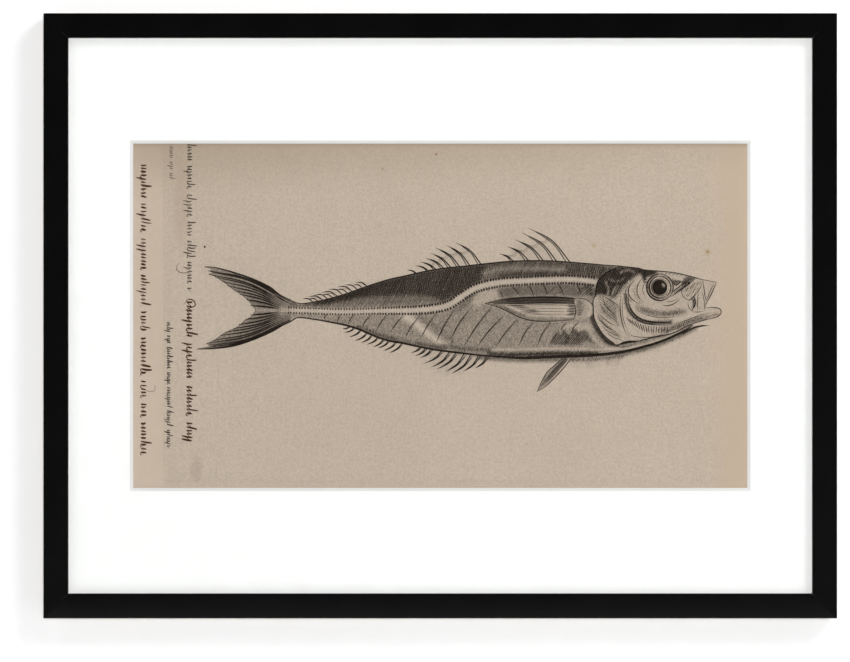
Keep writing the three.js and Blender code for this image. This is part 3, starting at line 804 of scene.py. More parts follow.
def pan_head_mesh(name, node):
    """A pan-head screw: a domed head with a cross recess, and the neck and shank below it."""
    low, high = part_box(node)
    centre = (low + high) / 2
    radius = (high.x - low.x) / 2
    top, under = high.y, high.y - SCREW_HEAD_HEIGHT
    dome = [(radius * 0.999, under), (radius, under + 0.10 * MM), (radius, under + 0.55 * MM)]
    for a in np.linspace(0.25, math.pi / 2 - 0.05, 8):
        dome.append((radius * (0.35 + 0.65 * math.cos(a)),
            under + 0.55 * MM + (top - under - 0.55 * MM) * math.sin(a)))
    dome.append((0.15 * radius, top))
    thread = []
    depth = under - low.y
    for k in range(24):
        y = low.y + depth * (0.12 + 0.7 * k / 24)
        thread.append((1.05 * MM if k % 2 else 1.42 * MM, y))
    shank = [(0.12 * MM, low.y), (0.8 * MM, low.y + 0.08 * depth)] + thread + [(1.3 * MM, under - 1.5 * MM),
        (1.4 * MM, under)]
    head = turned(name, shank + dome, centre, 40)
    head_object = link(bpy.data.objects.new(name + "_head", head))
    cutters = bmesh.new()
    for turn in (0.3, 0.3 + math.pi / 2):
        slot = bmesh.ops.create_cube(cutters, size=1.0)["verts"]
        for v in slot:
            deep = v.co.y < 0
            v.co = Vector((v.co.x * (0.5 if deep else 3.7) * MM, v.co.y * 2.4 * MM,
                v.co.z * (0.35 if deep else 0.85) * MM))
        bmesh.ops.rotate(cutters, verts=slot, cent=(0, 0, 0), matrix=Matrix.Rotation(turn, 3, "Y"))
        bmesh.ops.translate(cutters, verts=slot, vec=(centre.x, top - 0.1 * MM, centre.z))
    cutter = link(bpy.data.objects.new(name + "_cutter", to_mesh(cutters, name + "_cutter")))
    cut = head_object.modifiers.new("cross", "BOOLEAN")
    cut.operation, cut.solver, cut.object, cut.use_self = "DIFFERENCE", "EXACT", cutter, True
    evaluated = head_object.evaluated_get(bpy.context.evaluated_depsgraph_get())
    mesh = bpy.data.meshes.new_from_object(evaluated)
    for spent in (head_object, cutter):
        bpy.data.objects.remove(spent)
    mesh.name = name
    return mesh


class FRAMED_PRINT_OT_hangers(bpy.types.Operator):
    """Makes the two D-ring hangers with their straps and screws"""

    bl_idname = "framed_print.hangers"
    bl_label = "Hangers"

    def execute(self, context):
        settings = context.scene.framed_print_hardware
        brass = brass_finish(settings)
        for side in ("left", "right"):
            ring, strap, screw = ("hanger_" + part + "_" + side for part in ("ring", "strap", "screw"))
            wire = ring_mesh("wire_ring_" + side, ring)
            finish_piece("d_ring_" + side, shaded(wire, 50), (brass,), (ring,),
                "ring_" + side)
            folded = strap_mesh("folded_strap_" + side, strap, ring, settings.strap_sheet)
            finish_piece("folded_strap_" + side, shaded(folded, 35), (brass,), (strap,))
            head = pan_head_mesh("strap_screw_" + side, screw)
            finish_piece("pan_head_screw_" + side, shaded(head, 35), (brass,), (screw,))
        return {"FINISHED"}


class FRAMED_PRINT_OT_bumpers(bpy.types.Operator):
    """Makes the two soft bumpers that keep the frame off the wall"""

    bl_idname = "framed_print.bumpers"
    bl_label = "Wall Bumpers"

    def execute(self, context):
        rubber = rubber_finish(context.scene.framed_print_hardware)
        for side in ("left", "right"):
            low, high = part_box("wall_bumper_" + side)
            radius, tall = (high.x - low.x) / 2, high.y - low.y
            profile = [(0.1 * radius, low.y), (0.95 * radius, low.y), (radius, low.y + 0.06 * tall)]
            for a in np.linspace(0.0, math.pi / 2 - 0.02, 12):
                out = 0.6 + 0.4 * math.cos(a) ** 0.9
                profile.append((radius * out, low.y + tall * (0.3 + 0.7 * math.sin(a))))
            profile.append((0.1 * radius, high.y))
            mesh = turned("bumper_" + side, profile, (low + high) / 2, 48)
            finish_piece("rubber_bumper_" + side, shaded(mesh), (rubber,),
                ("wall_bumper_" + side,))
        return {"FINISHED"}


# --- the drawing, in millimetres from the middle of the window: x to the right, z up ---


def pairs(*places):
    """Places given as x, z, x, z and so on, or already in pairs, as an array of pairs."""
    return np.array(places, float).reshape(-1, 2)


BACK = pairs(-121, 12.8, -113.5, 10, -101, 11.5, -89.5, 14, -77, 17.5, -60, 23.5, -42.5, 29, -27, 32.5,
    -11.5, 36, 4, 38.5, 19.5, 40, 32, 41.5, 58, 44, 83, 44.5, 102.5, 43.5, 121.5, 42, 132.5, 41, 146, 40.1)
BELLY = pairs(-121, -4.8, -114.5, -1.5, -101, -3, -89.5, -5, -77, -7.5, -65.5, -11, -54, -16, -42.5, -20,
    -31, -22, -19.5, -24.5, -4, -27.5, 11.5, -29.5, 24, -31, 38.5, -32.5, 63.5, -34, 83, -33.5, 99, -32.8,
    112, -32.5, 123.5, -31.8, 137, -30.6, 152, -28.2, 169.5, -23.6, 183.5, -18.6, 197.5, -12, 204, -7.6)
GILL_ARC = pairs(146, 40.1, 135.5, 35.5, 128, 28.5, 126, 22, 125.5, 16.5)
GILL_EDGE = pairs(125.5, 16.5, 123.6, 13, 123.5, 7, 124.6, -3, 131.5, -15, 142, -23.6)
JAW_UNDER = pairs(142, -23.6, 158.7, -20.8, 169, -18.2, 187.5, -14.1, 197, -9.5, 204, -6.4, 216, -2.8)
JAW_TIP = pairs(216, -2.8, 223.5, -1, 226.8, 2.2, 226, 5.4, 220.5, 6.8, 214.2, 6.2)
MOUTH = pairs(214.2, 6.2, 214.4, 8.5, 219, 17.8, 222.4, 25, 222.8, 27.2)
BROW = pairs(222.8, 27.2, 212, 29.2, 206.5, 30.7, 197.5, 33, 188, 35, 175, 36.2, 165, 37, 159.5, 38.5,
    146, 40.1)
TAIL_TOP = pairs(-190.5, 39.7, -182, 39, -167, 35, -151, 29.5, -137.5, 23, -130.5, 17.6, -124, 14,
    -121, 12.8)
TAIL_LOW = pairs(-196.5, -27, -184, -26.5, -166.5, -24, -151, -19, -136, -12.5, -127, -7.4, -121, -4.8)
FORK_UPPER = pairs(-190.5, 39.7, -184, 37.6, -187.2, 36, -182.5, 35.2, -187.5, 33.6, -182, 32, -174.5, 27,
    -167.5, 21.5, -159.5, 16.5, -154.5, 12, -151, 7.5, -149, 4.5)
FORK_LOWER = pairs(-149, 4.5, -152, -0.5, -157.5, -3.5, -163.5, -9, -174.5, -14, -182, -19.5, -189.5, -22.8,
    -183, -24.2, -196.5, -27)
PECTORAL_TOP = pairs(36.2, 9.8, 48.5, 13, 68, 14.8, 92.5, 15.2, 108, 14.2)
PECTORAL_LOW = pairs(36.2, 9.8, 44.5, 7.8, 53.5, 4, 66, -2, 79, -4.4, 97.5, -4, 108, -3)
PECTORAL_ROOT = pairs(108, 14.2, 113, 14, 119, 12.4, 123, 8.6, 123.6, 5, 122.6, 1, 119, -2, 113, -3,
    108, -3)
PELVIC_LEFT = pairs(104.5, -30.5, 99, -34.5, 92.5, -40, 86.5, -45.5, 82, -53, 78, -61.5)
PELVIC_RIGHT = pairs(78, -61.5, 84.5, -57.5, 92.5, -50, 101.5, -40, 107.5, -31)
BAND = pairs(-124, 4.6, -100, 3.8, -76.5, 3.2, -50, 3.9, -19.5, 4.5, -4, 6, 7.5, 9, 15.5, 14.2, 23, 19.3,
    32, 23.4, 46.5, 26.6, 63.5, 28, 83, 28.9, 102.5, 29.4, 118, 28.4, 126.5, 27.2)
EYE = (177.5, 23)


def smooth(points, step=1.3):
    """Points along a smooth curve through the given ones, no further apart than step."""
    p = pairs(*points)
    padded = np.vstack([2 * p[0] - p[1], p, 2 * p[-1] - p[-2]])
    parts = []
    for a, b, c, d in zip(padded, padded[1:], padded[2:], padded[3:]):
        count = max(1, math.ceil(np.linalg.norm(c - b) / step))
        t = np.linspace(0, 1, count, endpoint=False)[:, None]
        curve = 2 * b + (c - a) * t + (2 * a - 5 * b + 4 * c - d) * t**2 + (3 * b - a - 3 * c + d) * t**3
        parts.append(curve / 2)
    return np.vstack(parts + [p[-1:]])


def closed(*paths):
    """One closed outline from smoothed paths that follow each other."""
    return np.vstack([smooth(path)[:-1] for path in paths])


def circle(centre, radius, count=32):
    angles = np.linspace(0, 2 * math.pi, count, endpoint=False)
    return np.stack([centre[0] + radius * np.cos(angles), centre[1] + radius * np.sin(angles)], axis=1)


def arc(centre, radius, start, end, squash=1):
    """Points of an arc, its angles in degrees, anticlockwise from the right."""
    angles = np.radians(np.linspace(start, end, max(4, int(abs(end - start) / 9))))
    return np.stack([centre[0] + radius * np.cos(angles), centre[1] + squash * radius * np.sin(angles)],
        axis=1)


def inside(points, outline):
    """True for each point within the closed outline."""
    x, z = points[:, 0], points[:, 1]
    result = np.zeros(len(points), bool)
    for (ax, az), (bx, bz) in zip(outline, np.roll(outline, -1, axis=0)):
        if az == bz:
            continue
        crosses = (az > z) != (bz > z)
        result ^= crosses & (x < (bx - ax) * (z - az) / (bz - az) + ax)
    return result


def way_to(path):
    """The way along the path to each of its points."""
    return np.concatenate([[0], np.cumsum(np.linalg.norm(np.diff(path, axis=0), axis=1))])


def distance(points, path):
    """How far each point is from the path, and how far along the path its nearest place is, from 0 to 1."""
    best = np.full(len(points), np.inf)
    along = np.zeros(len(points))
    before = way_to(path)
    for i, length in enumerate(np.linalg.norm(np.diff(path, axis=0), axis=1)):
        a, b = path[i], path[i + 1]
        t = np.clip(((points - a) @ (b - a)) / max(length, 1e-9) ** 2, 0, 1)
        gap = np.linalg.norm(points - a - t[:, None] * (b - a), axis=1)
        nearer = gap < best
        best[nearer] = gap[nearer]
        along[nearer] = (before[i] + t[nearer] * length) / before[-1]
    return best, along


def soft_step(value):
    value = np.clip(value, 0, 1)
    return value * value * (3 - 2 * value)


def patch(ink, softness, *outline):
    """An instruction: tone within an outline, fading over softness on both sides of its edge."""
    corners = pairs(*outline)

    def weight(points):
        edge = smooth(np.vstack([corners, corners[:1]]), 3)
        gap, _ = distance(points, edge)
        gap = np.where(inside(points, edge[:-1]), gap, -gap)
        return soft_step(0.5 + gap / (2 * softness)), ink

    return weight, corners.min(axis=0) - softness, corners.max(axis=0) + softness


def stroke(ink, start, end, *path):
    """An instruction: a soft brush stroke, its half width going from start to end."""
    line = smooth(path, 2.5)

    def weight(points):
        gap, along = distance(points, line)
        return 1 - soft_step(gap / (start + (end - start) * along)), ink

    reach = max(start, end)
    return weight, line.min(axis=0) - reach, line.max(axis=0) + reach


def tone(points, base, instructions):
    """The ink at each point, after every instruction in turn."""
    ink = np.full(len(points), float(base))
    for weight, low, high in instructions:
        near = np.all((points >= low) & (points <= high), axis=1)
        if near.any():
            amount, value = weight(points[near])
            ink[near] += (value - ink[near]) * amount
    return np.clip(ink, 0, 1)


BODY_TONES = [
    # the back, darkest along its ridge
    patch(0.7, 3, -121, 16, -60, 29, 4, 44, 60, 50, 150, 48, 150, 33, 127, 25, 63, 30, 30, 26, 15, 16,
        0, 11, -30, 10, -60, 9, -90, 8, -121, 9),
    stroke(0.46, 5, 5, -112, 7.5, -80, 7.5, -50, 8.5, -20, 9, -4, 10),
    stroke(0.56, 5, 6, -95, 10, -70, 11.5, -45, 13, -20, 14, -5, 15),
    stroke(0.84, 4.6, 5.5, -108, 11, -77, 16.5, -50, 25, -20, 32, 4, 36, 30, 39),
    stroke(0.9, 6, 7, -100, 12, -84, 14.5, -60, 20, -30, 24),
    patch(0.78, 3.5, -62, 19, -25, 18, 0, 15, 14, 17, 24, 24, 30, 30, 29, 40, 0, 37, -30, 30),
    # the lighter shoulder with its two stripes
    patch(0.6, 3, 33, 27, 60, 31, 126, 33, 140, 40, 100, 42, 60, 42.5, 36, 38),
    stroke(0.44, 2.2, 2.2, 36, 34, 48, 37.5, 75, 38.3, 101, 37),
    stroke(0.76, 2.6, 2.6, 49, 32.4, 62, 33.4, 84, 33.8, 101, 33.4),
    stroke(0.8, 2.2, 2, 30, 41, 58, 43.6, 84, 44, 110, 42.6, 132, 40.6),
    stroke(0.68, 5, 7, 104, 37, 122, 36, 136, 37.5),
    # the flank under the band
    stroke(0.58, 4, 4, -17, -1, -3, -9, 10, -20),
    stroke(0, 6.2, 3.6, -28, -1, -21, -5, -13, -12, -4, -19, 7, -26),
    patch(0.62, 2, 12, 6, 17, 12, 24, 17.5, 31, 19, 27, 13, 20, 6, 13, 2),
    patch(0.2, 2, 30, 18.5, 45, 21, 48, 14, 38, 10, 30, 7.5, 26, 11),
    patch(0.58, 2, 46, 22.5, 64, 24.5, 102, 26, 124, 24, 124, 16, 92, 16.5, 66, 16, 48, 14.5),
    stroke(0.8, 4.5, 5, 118, 25, 123, 19),
    patch(0.24, 2.5, 99, -6, 112, -5.5, 121, -6, 124, -12, 116, -12.5, 107, -11, 99, -10),
    patch(0.62, 0.9, 88, -23, 91, -17, 94.5, -12, 98, -15, 100, -10.5, 104, -15.5, 108, -9.5, 111, -14,
        116, -11, 121, -15, 126, -23, 118, -21, 108, -24),
    stroke(0.8, 2, 2, 100, -13.5, 103, -19, 101, -22),
    stroke(0.78, 1.8, 1.6, 109.5, -12, 111.5, -17, 109, -21.5),
    stroke(0.2, 2.2, 2.6, 118, -8, 122, -15, 128, -22, 137, -27),
    # the belly: a dark keel with a light line over it
    stroke(0.66, 4.5, 3.6, -66, -10, -42, -18, -19, -23, 4, -26),
    stroke(0.6, 4, 3.5, 0, -24.5, 20, -26.5, 42, -28),
    stroke(0.8, 3.6, 3.6, 40, -31, 63, -31.5, 99, -30.5, 126, -30.5),
    stroke(0.1, 1.5, 1.5, 42, -27.4, 63, -27.2, 99, -26.6, 128, -27.2, 148, -26.4),
    stroke(0.88, 1.5, 1.7, -113, -2.2, -77, -8, -54, -16.4, -31, -22.4, -4, -28, 24, -31.4, 63, -34,
        110, -33, 140, -31, 165, -25.5, 186, -18, 204, -8),
    # the gap behind the gill cover
    stroke(0.95, 2.4, 4.8, 122.5, 8, 122.5, -2, 127.5, -12, 136, -21, 148, -25),
    stroke(0.54, 2.2, 1, 146, -24, 160, -22, 176, -18, 190, -14),
    stroke(0.1, 1.8, 1.2, 138, -26, 150, -26.4, 166, -23, 180, -18.6, 192, -14),
    # the band itself
    stroke(0.05, 3.4, 4.4, *BAND[:8]),
    stroke(0.05, 4.4, 4.2, *BAND[7:]),
]
HEAD_TONES = [
    patch(0.86, 3.5, 146, 42, 133, 37, 126, 28, 124.5, 17, 131, 16, 139, 13, 144, 18, 149, 24, 160, 33,
        172, 37, 160, 41),
    stroke(0.4, 2, 1.4, 133.5, 27, 136, 21.5, 135, 17),
    stroke(0.42, 2.2, 1.8, 141, 22.5, 139, 17, 143.5, 24),
    stroke(0.46, 2, 1.4, 146, 35, 152, 37, 157, 35),
    stroke(0.56, 2.2, 1.4, 137, 29, 143, 27.5, 149, 31),
    patch(0.95, 1.3, 160, 37, 168, 37.3, 176, 36, 172, 32.5, 167, 31, 164.5, 26, 163, 31),
    # the gill cover
    patch(0.2, 2, 124.5, 15, 131, 16, 139, 14, 145, 9, 147, 0, 149, -10, 154, -17, 143, -23, 131, -14,
        125, -3),
    patch(0.4, 4.4, 130.5, 13.5, 137, 13, 143, 8.5, 144, 1, 139, -3, 133, 0, 130, 5),
    stroke(0.55, 1.8, 1.6, 139.5, 2, 142, -4, 143, -7),
    stroke(0.42, 2.2, 1.2, 127, 0, 134, -8, 144, -16, 150, -18),
    stroke(0.06, 1, 1.4, 125.6, 2, 127, -4, 133, -13.5, 142.5, -21.8),
    stroke(0.1, 2.6, 2.2, 146, -10, 149, -15, 146, -20),
    stroke(0.08, 1.6, 1.6, 148.6, 15, 148.6, 2, 151, -8, 156, -13),
    # the cheek
    stroke(0.92, 2.3, 3, 149.6, 17, 150.6, 9, 154.5, 1.5, 161, -3.6, 170, -5.6, 186, -5.4),
    stroke(0.1, 1.8, 2, 153, 19, 154.5, 10.5, 160, 3.5, 168, -0.5, 182, -2, 196, 1.5),
    stroke(0.46, 5, 4, 160.5, 6.5, 167, 3.6, 176, 1.6, 186, 1.8, 197, 3.5),
    stroke(0.54, 3.8, 3, 164, 5, 167, 4, 176, 1.8, 187, 2, 196, 3.6),
    stroke(0.34, 2.4, 1.6, 152.5, 27, 150.5, 20, 154.5, 12),
    stroke(0.32, 2, 1.6, 158.5, 25, 157, 18.5, 161, 11),
    stroke(0.62, 2.2, 1.6, 187, 19, 195, 23, 202, 28, 206, 30.5),
    patch(0.8, 1.2, 194, 27.5, 199, 31.5, 206, 31.2, 201, 26.5, 196, 23.5),
    stroke(0.36, 2, 1.6, 186, 16, 192, 19.5, 197, 21),
    patch(0.86, 0.8, 187.5, 29.5, 190, 24.8, 193.6, 27.6),
    stroke(0.1, 2.2, 1.2, 182, 34, 190, 32, 196, 29),
    stroke(0.3, 1.2, 1, 176, 35.6, 188, 34.2, 200, 32),
    # the snout and the jaw
    stroke(0.34, 2.2, 1.8, 199, 21, 204, 24, 209, 27),
    stroke(0.3, 1.6, 1.4, 195, 15.5, 201, 17, 206, 22),
    patch(0.92, 0.7, 203.6, 12.5, 205.6, 15.2, 205.6, 9, 203.4, 4.5, 204.2, 8.5),
    stroke(0.34, 1.2, 0.8, 208.5, 22, 208, 12, 208.8, 4),
    stroke(0.4, 1, 0.8, 220.5, 25, 217, 17, 214.6, 9.5),
    stroke(0.5, 3.4, 2.4, 178, -12, 186, -9.6, 194, -6.8, 203, -3.4, 212, -0.6),
    stroke(0.34, 2, 1.6, 150, -21.5, 166, -18.5, 184, -14),
    stroke(0.74, 1.6, 1.4, 182, -13, 193, -9.5, 203, -5.2, 216, -1.8),
    stroke(0.52, 1.8, 2, 214, -0.6, 221, 0.2, 225, 1.4),
    stroke(0.06, 1.4, 1.2, 190, -4, 203, 0.2, 214, 3.4, 221, 4.6),
]
EYE_TONES = [
    stroke(0.62, 1.5, 1.5, *arc(EYE, 9.7, 100, 265)),
    stroke(0.5, 1.3, 1.3, *arc(EYE, 9.7, -80, 80)),
    stroke(0.5, 1.2, 1.2, *arc(EYE, 7.8, 130, 320)),
]
PUPIL_TONES = [
    patch(0.05, 0.9, 179.4, 26.4, 181.2, 25.2, 181, 23, 179.8, 24),
]
TAIL_TONES = [
    stroke(0.58, 7, 4, -124, 11.5, -137.5, 18, -151, 24.5, -167, 31, -186, 37),
    stroke(0.76, 7, 4, -124, -3.5, -137.5, -9, -151, -15, -167, -21, -190, -25.5),
    stroke(0.66, 5, 4, -132, 7.5, -141, 9, -152, 13),
    stroke(0.66, 5, 4, -132, 0.5, -141, -1.5, -153, -5),
    stroke(0.34, 2.2, 1.4, -134, 4.2, -142, 4.6, -149, 4.5),
    stroke(0.14, 3.4, 2.4, -128, 4.6, -119, 4.4),
]
PECTORAL_TONES = [
    patch(0.5, 1.6, 34, 10, 48.5, 14.5, 68, 16.2, 92.5, 16.6, 109, 15.4, 109, 9.8, 90, 10.2, 68, 9.6,
        56, 7.4, 44, 8.2),
    stroke(0.62, 1, 1, 64, 12, 84, 13, 107, 12.4),
    stroke(0.72, 2.2, 2, 44, 9, 52, 6, 60, 2.6, 68, 0),
    patch(0, 0.9, 52, 8.4, 66, 8.8, 90, 8.8, 108, 8.6, 108, -0.4, 86, -0.6, 74, 0, 64, 3),
    stroke(0.6, 1.5, 1.2, 62, 1, 74, -3, 88, -3.6, 108, -2.2),
    patch(0.3, 1, 109, 13.5, 118, 12.6, 123, 8, 123, 1, 118, -2, 110, -2.4),
    patch(0.5, 1.8, 109.5, 12.5, 116.5, 12, 116, 5, 113, -0.5, 109.5, 3),
    stroke(0.05, 1.4, 1.4, 119, 10.5, 121.8, 5.5, 119.5, 0),
]
PELVIC_TONES = [
    stroke(0.62, 5, 1.6, 101, -34, 92.5, -43, 86, -50, 79, -60.5),
    stroke(0.12, 1.6, 0.8, 105, -33, 99, -40.5, 91, -49.5, 83, -57.5),
]
GROUND_TONES = [
    stroke(0.92, 1.8, 3, 10, -31.4, 36, -33.4, 63, -35, 100, -34.9, 128, -33.8),
    stroke(0.66, 2.8, 4.8, 20, -32.8, 50, -35.4, 84, -35.6, 118, -34.6, 146, -32),
    stroke(0.55, 4.6, 3.2, 136, -33.2, 160, -28.2, 178, -22.6, 196, -15.2, 206, -10.2),
    stroke(0.74, 1.6, 2.4, 142, -31.6, 162, -27.4, 180, -21.6, 196, -14.8),
    stroke(0.84, 2.4, 0.9, 194, -15.2, 203, -10.4, 209, -8.6),
    stroke(0.5, 3.2, 2.4, 112, -35, 120, -35.4, 132, -34.4),
    patch(0.14, 2, -16, -26, -10, -40, 6, -44.5, 20, -42, 30, -33, 10, -30),
    patch(0.1, 2, 54, 46, 70, 60, 96, 47, 80, 45),
    patch(0.08, 2, -10, 40, -2, 50, 14, 54, 24, 44, 6, 40),
    stroke(0.07, 1.6, 1.6, -223, -118, -223, -60, -223, 30, -223, 139),
    stroke(0.06, 1.6, 1.6, -221, -133.2, -120, -133.6, 0, -133.6, 120, -133.6, 236, -133.4),
]

BODY = closed(BACK, GILL_ARC, GILL_EDGE, JAW_UNDER[:6], [204, -6.4, 204, -7.6], BELLY[::-1], [-121, -4.8,
    -121, 12.8])
HEAD = closed(GILL_ARC, GILL_EDGE, JAW_UNDER, JAW_TIP, MOUTH, BROW)
TAIL = closed(TAIL_TOP, [-121, 12.8, -121, -4.8], TAIL_LOW[::-1])
TAIL = np.vstack([TAIL, FORK_LOWER[:0:-1], FORK_UPPER[:0:-1]])
PECTORAL = closed(PECTORAL_TOP, PECTORAL_ROOT, PECTORAL_LOW[::-1])
PELVIC = closed(PELVIC_LEFT, PELVIC_RIGHT, [107.5, -31, 104.5, -30.5])

# region: (outline, ink under everything, tones), the uppermost first
REGIONS = {
    "pupil": (circle(EYE, 5.7), 0.985, PUPIL_TONES),
    "eye": (circle(EYE, 10.9, 44), 0.16, EYE_TONES),
    "pectoral": (PECTORAL, 0.5, PECTORAL_TONES),
    "head": (HEAD, 0.13, HEAD_TONES),
    "tail": (TAIL, 0.54, TAIL_TONES),
    "body": (BODY, 0.44, BODY_TONES),
    "pelvic": (PELVIC, 0.3, PELVIC_TONES),
}


def ink_at(points):
    """The ink wanted at each point, whatever region it is in."""
    result = tone(points, 0, GROUND_TONES)
    for outline, base, tones in reversed(REGIONS.values()):
        within = inside(points, outline)
        if within.any():
            result[within] = tone(points[within], base, tones)
    return result


# --- the printed sheet ---

PLATE = (-223.0, 239.0, -133.5, 142.2)  # left, right, bottom and top of the plate mark
PLATE_CORNER = 3.0
PLATE_RISE = 0.06  # of the margin over the pressed middle


def from_plate_mark(x, z):
    """How far outside the plate mark a point is, in millimetres, or less than nothing inside it."""
    left, right, bottom, top = PLATE
    over_x = np.maximum(left + PLATE_CORNER - x, x - right + PLATE_CORNER)
    over_z = np.maximum(bottom + PLATE_CORNER - z, z - top + PLATE_CORNER)
    outside = np.hypot(np.maximum(over_x, 0), np.maximum(over_z, 0))
    return outside + np.minimum(np.maximum(over_x, over_z), 0) - PLATE_CORNER


def scattered(low, high, step, keep):
    """Points of a three-way grid in the box from low to high, where keep is true."""
    rows = np.arange(low[1], high[1], step * 0.866)
    columns = np.arange(low[0], high[0], step)
    x, z = np.meshgrid(columns, rows)
    x = x + np.where(np.arange(len(rows)) % 2, step / 2, 0)[:, None]
    points = np.stack([x.ravel(), z.ravel()], axis=1)
    return points[keep(points)]


def sheet_points(width, height):
    """The points and fixed edges that the printed sheet's face is made from, in the drawing's place."""
    loops = [np.array([(-width, -height), (width, -height), (width, height), (-width, height)]) / 2]
    loops += [outline for outline, _, _ in REGIONS.values()]
    drawn = np.vstack(loops[1:])
    low, high = drawn.min(axis=0) - 6, drawn.max(axis=0) + 6

    def near(points):
        wanted = np.zeros(len(points), bool)
        for outline in loops[1:]:
            wanted |= inside(points, outline)
        for path in (BELLY, BACK, BROW, TAIL_TOP, TAIL_LOW, PELVIC_LEFT):
            wanted |= distance(points, smooth(path, 6.0))[0] < 6
        clear = distance_to_points(points, drawn) > 0.45
        return wanted & clear

    fine = scattered(low, high, 1.25, near)
    coarse = scattered(
        (-width / 2 + 5, -height / 2 + 5),
        (width / 2 - 4, height / 2 - 4),
        8.0,
        lambda p: ~near(p) & (np.abs(from_plate_mark(p[:, 0], p[:, 1])) > 3),
    )
    left, right, bottom, _ = PLATE
    marks = []
    for inset in (-0.9, -0.3, 0.3, 0.9):
        for z in np.arange(bottom + 4, height / 2 - 3, 6.0):
            marks += [(left - inset, z), (right + inset, z)]
        for x in np.arange(left + 4, right - 3, 6.0):
            marks.append((x, bottom - inset))
        for angle in np.radians((200, 225, 250)):
            out = PLATE_CORNER + inset
            marks.append((left + PLATE_CORNER + out * math.cos(angle),
                bottom + PLATE_CORNER + out * math.sin(angle)))
            marks.append((right - PLATE_CORNER - out * math.cos(angle),
                bottom + PLATE_CORNER + out * math.sin(angle)))
    return loops, np.vstack([fine, coarse, np.array(marks)])


def distance_to_points(points, others):
    """How far each point is from the nearest of the others."""
    tree = KDTree(len(others))
    for i, (x, z) in enumerate(others):
        tree.insert((x, z, 0), i)
    tree.balance()
    return np.array([tree.find((x, z, 0))[2] for x, z in points])


def printed_sheet_mesh():
    """The old sheet: a thin slab with the plate's mark pressed in, and the ink of the drawing's tones."""
    low, high = PAPER_BOX
    width, height = (high.x - low.x) / MM, (high.z - low.z) / MM
    loops, free = sheet_points(width, height)
    points, edges = [], []
    for loop in loops:
        first = len(points)
        points += [tuple(p) for p in loop]
        edges += [(first + i, first + (i + 1) % len(loop)) for i in range(len(loop))]
    points += [tuple(p) for p in free]
    flat, _, faces, *_ = delaunay_2d_cdt([Vector(p) for p in points], edges, [], 0, 1e-4)
    flat = np.array([tuple(p) for p in flat])
    faces = np.array([f for f in faces if len(f) == 3])
    a, b, c = (flat[faces[:, i]] for i in range(3))
    turn = (b[:, 0] - a[:, 0]) * (c[:, 1] - a[:, 1]) - (b[:, 1] - a[:, 1]) * (c[:, 0] - a[:, 0])
    faces = faces[np.abs(turn) > 1e-7]
    turn = turn[np.abs(turn) > 1e-7]
    faces[turn < 0] = faces[turn < 0][:, ::-1]
    middles = flat[faces].mean(axis=1)

    region = np.full(len(faces), -1)
    for index, (outline, _, _) in reversed(list(enumerate(REGIONS.values()))):
        region[inside(middles, outline)] = index
    ink = np.zeros((len(faces), 3))
    tones = [(base, instructions) for _, base, instructions in REGIONS.values()] + [(0.0, GROUND_TONES)]
    for index, (base, instructions) in enumerate(tones):
        chosen = region == (index if index < len(REGIONS) else -1)
        used, places = np.unique(faces[chosen], return_inverse=True)
        if len(used):
            ink[chosen] = tone(flat[used], base, instructions)[places].reshape(-1, 3)

    rise = PLATE_RISE * soft_step((from_plate_mark(flat[:, 0], flat[:, 1]) + 0.9) / 1.8)
    front = [(x * MM, low.y - r * MM, CENTRE_Z + z * MM) for (x, z), r in zip(flat, rise)]
    count = len(front)
    corners = [int(np.argmin(np.linalg.norm(flat - corner, axis=1))) for corner in loops[0]]
    back = [(front[i][0], high.y, front[i][2]) for i in corners]
    solid = [tuple(map(int, f)) for f in faces]
    for i in range(4):
        j = (i + 1) % 4
        solid.append((corners[j], corners[i], count + i, count + j))
    solid.append((count, count + 3, count + 2, count + 1))
    mesh = bpy.data.meshes.new("printed_sheet")
    mesh.from_pydata(front + back, [], solid)
    values = np.concatenate([ink.ravel(), np.zeros(len(mesh.loops) - ink.size)])
    mesh.attributes.new("ink", "FLOAT", "CORNER").data.foreach_set("value", values.astype(np.float32))
    return mesh


